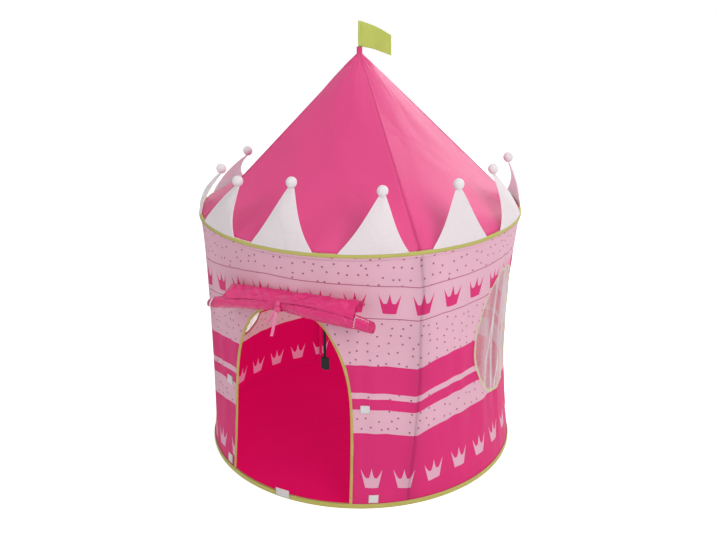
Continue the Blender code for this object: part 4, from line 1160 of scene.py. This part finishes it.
for index in range(crown_count):
    u, v = across(28, 36)
    side_share = 2 * u - 1
    plump = np.sin(math.pi * (0.15 + 0.75 * v)) * (1 - np.abs(side_share) ** 2.2)
    tucks = 1 - 0.25 * np.abs(np.sin(v * 19 + index)) * np.abs(side_share) ** 3
    padding = 0.5 * (crown_edge_thickness + crown_plumpness * plump * tucks * np.clip(v * 8, 0, 1))
    sag = crown_sag * np.sin(v * 8 + index) * np.sin(3 * side_share + index) * np.sin(math.pi * v)
    front = crown_spot(index, side_share, v, padding + sag)
    back = crown_spot(index, side_share, v, sag - padding)
    name = f"crown_petal_{index + 1:02d}"
    flat = xyz(side_share * crown_half_width * (1 - v), v * crown_length)
    mesh = grid_mesh(name, front, flat)
    bm = bmesh.new()
    bm.from_mesh(mesh)
    bm.from_mesh(grid_mesh(name + "_back", back[:, ::-1], flat[:, ::-1]))
    half_count = len(bm.faces) // 2
    bm.faces.ensure_lookup_table()
    for face in bm.faces[half_count:]:
        face.material_index = 1
    bmesh.ops.bridge_loops(bm, edges=[edge for edge in bm.edges if edge.is_boundary])
    bm.to_mesh(mesh)
    bm.free()
    petal = link(name, made_whole(mesh), [crown_white, crown_back_painted_glow])
    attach(petal, "eaves")
    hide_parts(f"crown_point_{index + 1:02d}")
    upwards = np.linspace(0.01, 1, 30)
    path = np.concatenate([crown_spot(index, -1.0, upwards, 0),
                           crown_spot(index, np.linspace(-1, 1, 7)[1:-1], 1.0, 0),
                           crown_spot(index, 1.0, np.linspace(1, 0.01, 30), 0)])
    pipe = tube(f"crown_piping_{index + 1:02d}", path, crown_piping_radius, piping)
    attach(pipe, "eaves")
    tip = crown_spot(index, 0.0, 1.0, 0)
    turn, rise = across(32, 20)
    turn, rise = turn[:, :-1] * 2 * math.pi, rise[:, :-1] * math.pi
    gather = 1 + 0.035 * np.sin(turn * 11) * np.cos(rise / 2) ** 4
    gather = gather + 0.02 * np.sin(turn * 3 + index) * np.sin(rise * 2)
    radius = crown_ball_radius * gather
    points = xyz(tip[0] + radius * np.sin(rise) * np.cos(turn), tip[1] + radius * np.sin(rise) * np.sin(turn),
                 tip[2] + 0.8 * crown_ball_radius - radius * np.cos(rise))
    name = f"crown_ball_{index + 1:02d}"
    mesh = grid_mesh(name, points, xyz(turn, rise) * crown_ball_radius, close_u=True)
    ball = link(name, made_whole(mesh, merge=0.00005), [ball_white])
    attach(ball, "eaves")

# Poles, sleeves, elbows and hub. White fibreglass tubes, soft black sleeves and a moulded black
# hub with the flag's mast. The CAD nodes stay.
fibreglass, tree, main = new_material("pole_fibreglass", 0.4, Coat_Weight=0.15)
place = node(tree, "TexCoord").outputs["Object"]
streaks = node(tree, "Mapping", {"Vector": place, "Scale": (500, 500, 12)}).outputs[0]
streaks = node(tree, "TexNoise", {"Vector": streaks, "Scale": 1.0, "Detail": 3.0}).outputs["Fac"]
worn = calc(tree, "MULTIPLY_ADD", streaks, 0.2, 0.88)
plug(tree, main.inputs["Base Color"], tinted(tree, (0.80, 0.79, 0.76), worn))
bumped(tree, main, [(streaks, 0.0001)])
dress([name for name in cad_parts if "pole_lower" in name or "pole_upper" in name or "roof_pole" in name],
      fibreglass)


def moulded(name, color, roughness, grain):
    """Moulded black plastic or rubber, with its fine grain and a few rubbed marks."""
    made, tree, main = new_material(name, roughness, Specular_IOR_Level=0.2)
    place = node(tree, "TexCoord").outputs["Object"]
    speckle = node(tree, "TexNoise", {"Vector": place, "Scale": 900.0, "Detail": 2.0}).outputs["Fac"]
    rubbed = node(tree, "TexNoise", {"Vector": place, "Scale": 60.0, "Detail": 4.0}).outputs["Fac"]
    plug(tree, main.inputs["Base Color"], tinted(tree, color, calc(tree, "MULTIPLY_ADD", rubbed, 1.0, 0.6)))
    plug(tree, main.inputs["Roughness"], calc(tree, "MULTIPLY_ADD", rubbed, 0.3, roughness - 0.15))
    bumped(tree, main, [(speckle, grain)])
    return made


dress([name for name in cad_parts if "knee_sleeve" in name or "elbow" in name],
      moulded("black_sleeve", (0.018, 0.018, 0.02), 0.6, 0.0002))
dress(["apex_hub", "strap_buckle"], moulded("black_plastic", (0.006, 0.010, 0.010), 0.6, 0.00015))

# Pole sleeves. Tubes of crimson cloth, sewn to the wall's inner seams, that the wall poles are slipped
# into. The upper ones reach down over the knees.
# The sleeve cloth glows in its own crimson: painted light for the light inside the tent
sleeve_crimson = woven("pole_sleeve_cloth", (0.31, 0.002, 0.045), 0.7, pitch=0.0008, depth=0.0001,
                       creases=0.0012, crease_size=0.03, through=1.2)
sleeve_cloth_radius, sleeve_knee_swell, sleeve_slack, sleeve_sides = 0.0056, 0.0020, 0.0004, 14
above_pocket, short_of_end = 0.05, 0.004
for k in range(1, 5):
    knee_low, knee_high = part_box(f"knee_sleeve_{k}")
    for part in ("lower", "upper"):
        low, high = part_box(f"pole_{part}_{k}")
        if part == "lower":
            foot, top = max(low.z, above_pocket), min(high.z, knee_low.z - 0.0006)
        else:
            foot, top = knee_low.z - 0.0002, high.z
        height = np.linspace(foot, top - short_of_end, 60)
        over_knee = np.clip((knee_high.z + 0.004 - height) / 0.006, 0, 1) if part == "upper" else 0
        slack = sleeve_slack * np.sin(height * 160) * np.sin(height * 47 + k)
        path = xyz((low.x + high.x) / 2, (low.y + high.y) / 2, height)
        radius = sleeve_cloth_radius + sleeve_knee_swell * over_knee + slack
        cover = tube(f"pole_cloth_{part}_{k}", path, radius, sleeve_crimson, sleeve_sides)
        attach(cover, f"pole_{k}_{part}")

# Foot pockets. Four small open pockets of the floor's cloth, pleated and sewn to its edge, that hold
# the feet of the poles.
pocket_half_depth, pocket_half_width, pocket_foot, pocket_height = 0.008, 0.0155, 0.0024, 0.0446
pocket_thickness = 0.0012
for k, azimuth in enumerate(seam_azimuths, start=1):
    turn, v = across(48, 14)
    turn, v = turn[:, :-1] * 2 * math.pi, v[:, :-1]
    bulge = 1 + 0.05 * np.sin(math.pi * v) - 0.15 * v
    deep = pocket_half_depth * bulge * np.cos(turn)
    wide = pocket_half_width * bulge * np.sin(turn)
    pleat = 0.0004 * np.sin(turn * 9) * v
    radius = pole_circle_radius + deep + pleat
    points = xyz(radius * math.cos(azimuth) - wide * math.sin(azimuth),
                 radius * math.sin(azimuth) + wide * math.cos(azimuth), pocket_foot + pocket_height * v)
    name = f"foot_pocket_{k}"
    pocket = link(name, grid_mesh(name, points, xyz(turn * 0.012, v * 0.045), close_u=True), [floor_pink])
    thickened(pocket, pocket_thickness, offset=-1)
    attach(pocket, "tent_base")
    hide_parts(f"pole_pocket_{k}")
    gathered(pocket)

# Flag. A small lime polyester flag with a stitched hem all round. The sleeve at its edge is slipped
# over the mast and turns on it.
flag_length, flag_height, flag_end_height, flag_droop = 0.096, 0.078, 0.063, 0.034
flag_facing = math.radians(20)
flag_low = roof_height + roof_neck_height + 0.0006
flag_start = 0.0029
flag_lime = woven("flag_cloth", (0.53, 0.61, 0.12), 0.65, depth=0.0001, creases=0.0015, crease_size=0.05)


def flag_point(u, v, proud=0.0):
    """A point on the flag: u runs from its sleeve to its free end, v from its foot to its top."""
    out = flag_start + u * flag_length
    height = flag_height + (flag_end_height - flag_height) * u
    droop = flag_droop * (0.55 * u + 0.45 * u**2)
    up = flag_low + v * height + (flag_height - height) * 0.5 - droop
    aside = 0.008 * np.sin(2 * math.pi * (u - 0.15 * v)) * u + proud
    return xyz(out * math.cos(flag_facing) - aside * math.sin(flag_facing),
               out * math.sin(flag_facing) + aside * math.cos(flag_facing), up)


u, v = across(48, 36)
v = 0.004 + 0.992 * v
cloth = xyz(u * flag_length, v * flag_height)
flag = link("flag_sheet", grid_mesh("flag_sheet", flag_point(u, v), cloth), [flag_lime])
thickened(flag, 0.0012)
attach(flag, "flag")
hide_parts("flag")
turn, v = across(28, 12)
turn, v = turn[:, :-1] * 2 * math.pi, v[:, :-1]
flag_sleeve_radius = 0.0042
points = round_axis(flag_sleeve_radius + 0.0002 * np.sin(turn * 3 + v * 9), turn, flag_low + v * flag_height)
cloth = xyz(turn * 0.004, v * 0.08)
sleeve = link("flag_sleeve", grid_mesh("flag_sleeve", points, cloth, close_u=True), [flag_lime])
thickened(sleeve, 0.0009, offset=-1)
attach(sleeve, "flag")
hem_start, hem_end, hem_foot, hem_top = 0.07, 0.955, 0.05, 0.95
u, v = np.linspace(hem_start, hem_end, 24), np.linspace(hem_foot, hem_top, 20)
rows = []
for proud in (0.0008, -0.0008):
    rows += [flag_point(u, hem_foot, proud), flag_point(u, hem_top, proud),
             flag_point(hem_end, v, proud), flag_point(hem_start, v, proud)]
stitches("flag_stitches", rows, lime_thread, "flag", pitch=0.0035, length=0.0023, width=0.0005)

# Rolled door flap. One sheet of pink satin, sewn to the wall over the arch by its top edge, rolled up
# outwards and drawn in at its middle by its tie.
roll_half_length, roll_radius = 0.285, 0.024
roll_turns, rolled_share, flap_thickness = 7.1, 0.8, 0.0009
roll_middle_height, roll_droop, roll_tilt_share, roll_bow = 0.661, 0.040, 0.045, 0.02
roll_seam_height, roll_seam_droop = 0.699, 0.057
roll_crumple_share, roll_pinch_share, roll_wall_gap = 0.10, 0.72, 0.0028
roll_place_shares = (-0.93, -0.90, -0.83, -0.79, -0.58, -0.42, -0.26, -0.12, -0.035,
                     0.035, 0.12, 0.26, 0.42, 0.58, 0.70, 0.745, 0.90, 1.0)
roll_girth_shares = (0.42, 0.62, 0.76, 0.80, 0.88, 0.92, 0.90, 0.80, 0.72,
                     0.72, 0.90, 1.10, 1.18, 1.12, 1.06, 1.02, 0.86, 0.74)
satin, tree, main = new_material("flap_satin", 0.38, Sheen_Weight=0.05)
place = cloth_map(tree)
factor = placed(tree, fade_group, {"Cloth": place, "Depth": 0.3})
plug(tree, main.inputs["Base Color"], tinted(tree, (0.72, 0.015, 0.17), factor))
long_creases = node(tree, "Mapping", {"Vector": place, "Scale": (0.35, 1.5, 1.0)}).outputs[0]
bumped(tree, main, [(placed(tree, weave_group, {"Cloth": place, "Pitch": 0.0007}), 0.00006),
                    (placed(tree, crease_group, {"Cloth": long_creases, "Size": 0.03}), 0.004)])


def front_out(aside, up):
    """How far out of the axis the front wall's cloth lies."""
    return -wall_spot("front", aside, up)[..., 1]


roll_out = float(front_out(0.0, roll_middle_height)) + fold_depth + roll_radius * (1 + roll_crumple_share)


def roll_centre(aside):
    """How far out of the axis, and how high, the roll's middle lies."""
    share = aside / roll_half_length
    return roll_out - roll_bow * share**2, roll_middle_height + roll_tilt_share * aside - roll_droop * share**2


u, v = across(120, 210)
aside = roll_half_length * (roll_place_shares[0] + (1 - roll_place_shares[0]) * u)
share = aside / roll_half_length
girth = np.interp(share, roll_place_shares, roll_girth_shares)
lip = np.clip((0.79 - np.abs(share + 0.0225)) * 60, 0, 1)
out, up = roll_centre(aside)
near_knot = np.exp(-np.abs(share) / 0.22)
sweep = np.clip(v / rolled_share, 0, 1)
turn = math.pi + 2 * math.pi * roll_turns * (1 - sweep)
wind = roll_radius * girth * (0.14 + 0.82 * sweep)
pleats = (0.0010 * np.sin(turn * 3 + 9 * share) + 0.0028 * near_knot * np.sin(turn * 9 + 6 * share)
          + 0.0008 * np.sin(turn * 5 - 40 * share)) * sweep**3 * (1 - np.exp(-(share / 0.035) ** 2))
wind = wind + pleats
roll_x = out + wind * np.cos(turn)
roll_z = up + wind * np.sin(turn)
seam_up = roll_seam_height + roll_tilt_share * aside - roll_seam_droop * share**2
seam_out = front_out(aside, seam_up) + roll_wall_gap
rise = np.clip((v - rolled_share) / 0.2, 0, 1)
back_out, back_up = out - roll_radius * girth * 0.96, up
eased = rise * rise * (3 - 2 * rise)
lip_x = back_out + (seam_out - back_out) * eased + 0.0022 * np.sin(aside * 150 + 4 * rise) * np.sin(math.pi * rise)
lip_z = back_up + (seam_up - back_up) * rise * lip
roll_x = np.where(v > rolled_share, back_out + (lip_x - back_out) * lip, roll_x)
roll_z = np.where(v > rolled_share, lip_z, roll_z)
points = xyz(aside, -roll_x, roll_z)
length_round = np.cumsum(np.concatenate([np.zeros((1, points.shape[1])),
                                         np.linalg.norm(np.diff(points, axis=0), axis=2)]), axis=0)
flap = link("rolled_flap", grid_mesh("rolled_flap", points, xyz(aside, length_round)), [satin])
thickened(flap, flap_thickness, even=False)
flap.data.shade_smooth()
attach(flap, "door_flap")
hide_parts("door_roll")
# Between its seam and the roll the flap bags over the roll's top, in creases that the tie draws in
u, v = across(180, 26)
aside = roll_half_length * (-0.66 + 1.48 * u)
share = aside / roll_half_length
out, up = roll_centre(aside)
seam_up = roll_seam_height + roll_tilt_share * aside - roll_seam_droop * share**2
seam_out = front_out(aside, seam_up) + roll_wall_gap + 0.0006
first_turn = np.arctan2(seam_up - up, seam_out - out)
last_far = 0.96 * roll_radius * np.interp(share, roll_place_shares, roll_girth_shares) + 0.0012
far = np.hypot(seam_up - up, seam_out - out)
far = far + (last_far - far) * v * v * (3 - 2 * v)
turn = first_turn + (0.74 - first_turn) * v
calm = 1 - np.exp(-(share / 0.10) ** 2)
drawn = np.exp(-np.abs(share) / 0.3)
creases = np.sin(aside * 90 + 8 * v) + 0.7 * np.sin(aside * 191 - 10 * v + 1.3) + 0.6 * np.sin(aside * 47 + 14 * v)
creases = creases + 0.9 * drawn * np.sin(v * 15 + 34 * share)
far = far + np.sin(math.pi * v) ** 0.8 * (0.0034 + 0.0020 * creases) * calm
points = xyz(aside, -(out + far * np.cos(turn)), up + far * np.sin(turn))
bag = link("flap_bag", grid_mesh("flap_bag", points, xyz(aside, 0.06 * v)), [satin])
thickened(bag, flap_thickness)
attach(bag, "door_flap")

# Tie. A woven satin ribbon passed round the roll and knotted in front, with its two cut ends hanging
# down over the doorway.
tie_width, tie_band_width, tie_thickness = 0.009, 0.014, 0.0009


def ribbon(name, path, width, thickness, material, way=(1.0, 0.0, 0.0)):
    """A flat ribbon along a path of points, its width lying along the given direction."""
    path = np.asarray(path, float)
    along = np.gradient(path, axis=0)
    along /= np.linalg.norm(along, axis=1, keepdims=True)
    wide = np.broadcast_to(np.asarray(way, float), path.shape)
    wide = wide - (wide * along).sum(1, keepdims=True) * along
    wide = wide / np.linalg.norm(wide, axis=1, keepdims=True)
    shares = np.linspace(-0.5, 0.5, 5)
    points = path[:, None] + wide[:, None] * shares[None, :, None] * width
    cloth = xyz(shares[None, :] * width, arc_shares(path)[:, None])
    return thickened(link(name, grid_mesh(name, points, cloth), [material]), thickness)


def on_roll(aside, turn, proud):
    """A point just outside the roll: turn is 0 in front and grows upwards."""
    share = aside / roll_half_length
    wind = 0.96 * roll_radius * np.interp(share, roll_place_shares, roll_girth_shares) + proud
    out, up = roll_centre(aside)
    return xyz(aside, -(out + wind * np.cos(turn)), up + wind * np.sin(turn))


tie_pink, tree, main = new_material("tie_ribbon", 0.4, Sheen_Weight=0.15)
place = cloth_map(tree)
factor = placed(tree, fade_group, {"Cloth": place, "Depth": 0.4})
plug(tree, main.inputs["Base Color"], tinted(tree, (0.88, 0.22, 0.42), factor))
bumped(tree, main, [(placed(tree, weave_group, {"Cloth": place, "Pitch": 0.0007}), 0.00006),
                    (placed(tree, crease_group, {"Cloth": place, "Size": 0.008}), 0.0006)])
tie_band_pink = woven("tie_band", (0.80, 0.07, 0.25), 0.4, pitch=0.0007, depth=0.00006, creases=0.0006,
                      crease_size=0.008)
tie_out, tie_up = roll_centre(0.0)
tie_radius = roll_radius * roll_pinch_share + 0.0018
turn = np.linspace(0, 2 * math.pi, 49)
loop = xyz(np.zeros_like(turn), -(tie_out + tie_radius * np.cos(turn)), tie_up + tie_radius * np.sin(turn))
tie = ribbon("tie_band", loop, tie_band_width, tie_thickness, tie_band_pink)
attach(tie, "door_flap")
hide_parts("roll_tie")
turn, rise = across(24, 14)
turn, rise = turn[:, :-1] * 2 * math.pi, (0.01 + 0.98 * rise[:, :-1]) * math.pi
knot_radius = 0.0076
size = knot_radius * (1 + 0.16 * np.sin(turn * 3 + rise * 2) + 0.08 * np.sin(turn * 7))
knot_out = tie_out + tie_radius + 0.0022
knot_up = tie_up - 0.006
points = xyz(size * 1.25 * np.sin(rise) * np.cos(turn), -knot_out - 0.75 * size * np.sin(rise) * np.sin(turn),
             knot_up - size * np.cos(rise))
mesh = grid_mesh("tie_knot", points, xyz(turn, rise) * 0.006, close_u=True)
knot = link("tie_knot", mesh, [tie_band_pink])
made_whole(knot.data, fill=True)
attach(knot, "door_flap")
# How far each end leans aside as it falls, how far down it reaches, and how it waves
tie_ends = ((-0.042, 0.054, 3.0), (-0.022, 0.092, 4.0))
for k, (lean, drop, wave) in enumerate(tie_ends, start=1):
    t = np.linspace(0, 1, 30)
    path = xyz(-0.001 * k + lean * t + 0.002 * np.sin(wave * t) * t, -(knot_out - 0.003 * t + 0.002 * np.sin(5 * t)),
               knot_up - drop * t)
    tail = ribbon(f"tie_end_{k}", path, tie_width, tie_thickness, tie_pink, (1.0, 0.35 * k, 0.0))
    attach(tail, "door_flap")

# Closing patches of the rolled flap. A satin-faced square edged with white zigzag thread at its right
# end, and a loop of white tape at its left end, both sewn to the flap.
patch_start, patch_width, patch_low_turn, patch_turn = 0.238, 0.042, -0.2, 1.4


def on_patch(share_across, share_up, proud):
    """A point on the square patch, or a little outside it."""
    return on_roll(patch_start + patch_width * share_across, patch_low_turn + patch_turn * share_up, proud)


u, v = across(14, 14)
patch = link("flap_patch", grid_mesh("flap_patch", on_patch(u, v, 0.0022), xyz(u, v) * 0.04), [satin])
thickened(patch, 0.0012)
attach(patch, "door_flap")
side_way = np.linspace(0, 1, 9)
border = np.concatenate([xyz(0, side_way), xyz(side_way, 1)])
border[1::2] += np.where(border[1::2] > 0.5, -0.09, 0.09) * (np.abs(border[1::2] - 0.5) > 0.49)
zigzag = on_patch(border[:, 0], border[:, 1], 0.0036)
stitches("flap_patch_stitches", [zigzag], white_thread, "door_flap", pitch=0.003,
         length=0.0036, width=0.0017)
t = np.linspace(0, 1, 24)
loop = ribbon("flap_loop", on_roll(-0.240 - 0.010 * t, 1.0 - 1.6 * t, 0.0022), 0.0045, 0.0009, hook_white)
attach(loop, "door_flap")

# Storage strap. Black webbing sewn under the upper tape, hanging inside the doorway. Its buckle is
# the CAD node.
black_web, tree, main = new_material("black_webbing", 0.85, Sheen_Weight=0.02, Specular_IOR_Level=0.25)
place = cloth_map(tree)
parts = node(tree, "SeparateXYZ", {0: place}).outputs
zigzag = calc(tree, "PINGPONG", parts[0], 0.002)
ribs = calc(tree, "SINE", calc(tree, "MULTIPLY", calc(tree, "ADD", parts[1], zigzag), 2 * math.pi / 0.0018))
# The ribs are painted lighter on their tops and darker between them: painted light and shade
shade = calc(tree, "MULTIPLY_ADD", ribs, 0.35, 1.0)
plug(tree, main.inputs["Base Color"], tinted(tree, (0.012, 0.012, 0.014), shade))
bumped(tree, main, [(ribs, 0.0003)])
strap_offset, strap_width, strap_thickness, strap_wall_gap = 0.112, 0.0085, 0.0012, 0.0073
strap_top, strap_bend, strap_end = 0.822, 0.602, 0.452
strap_top_out = 0.499677    # just inside the upper tape's inner face, where it is sewn
buckle_low, buckle_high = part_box("strap_buckle")
hang_out = -(buckle_low.y + buckle_high.y) / 2
share = np.linspace(0, 1, 28)
heights = strap_top + (strap_bend - strap_top) * share
outs = np.minimum(front_out(strap_offset, heights) - strap_wall_gap - strap_thickness / 2, strap_top_out)
outs = outs + (hang_out - outs[-1]) * share
heights = np.concatenate([heights, np.linspace(strap_bend, strap_end, 14)[1:]])
outs = np.concatenate([outs, np.full(13, hang_out)])
path = xyz(np.full(len(heights), strap_offset), -outs, heights)
strap = ribbon("storage_webbing", path, strap_width, strap_thickness, black_web)
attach(strap, "storage_strap")
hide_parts("storage_strap")
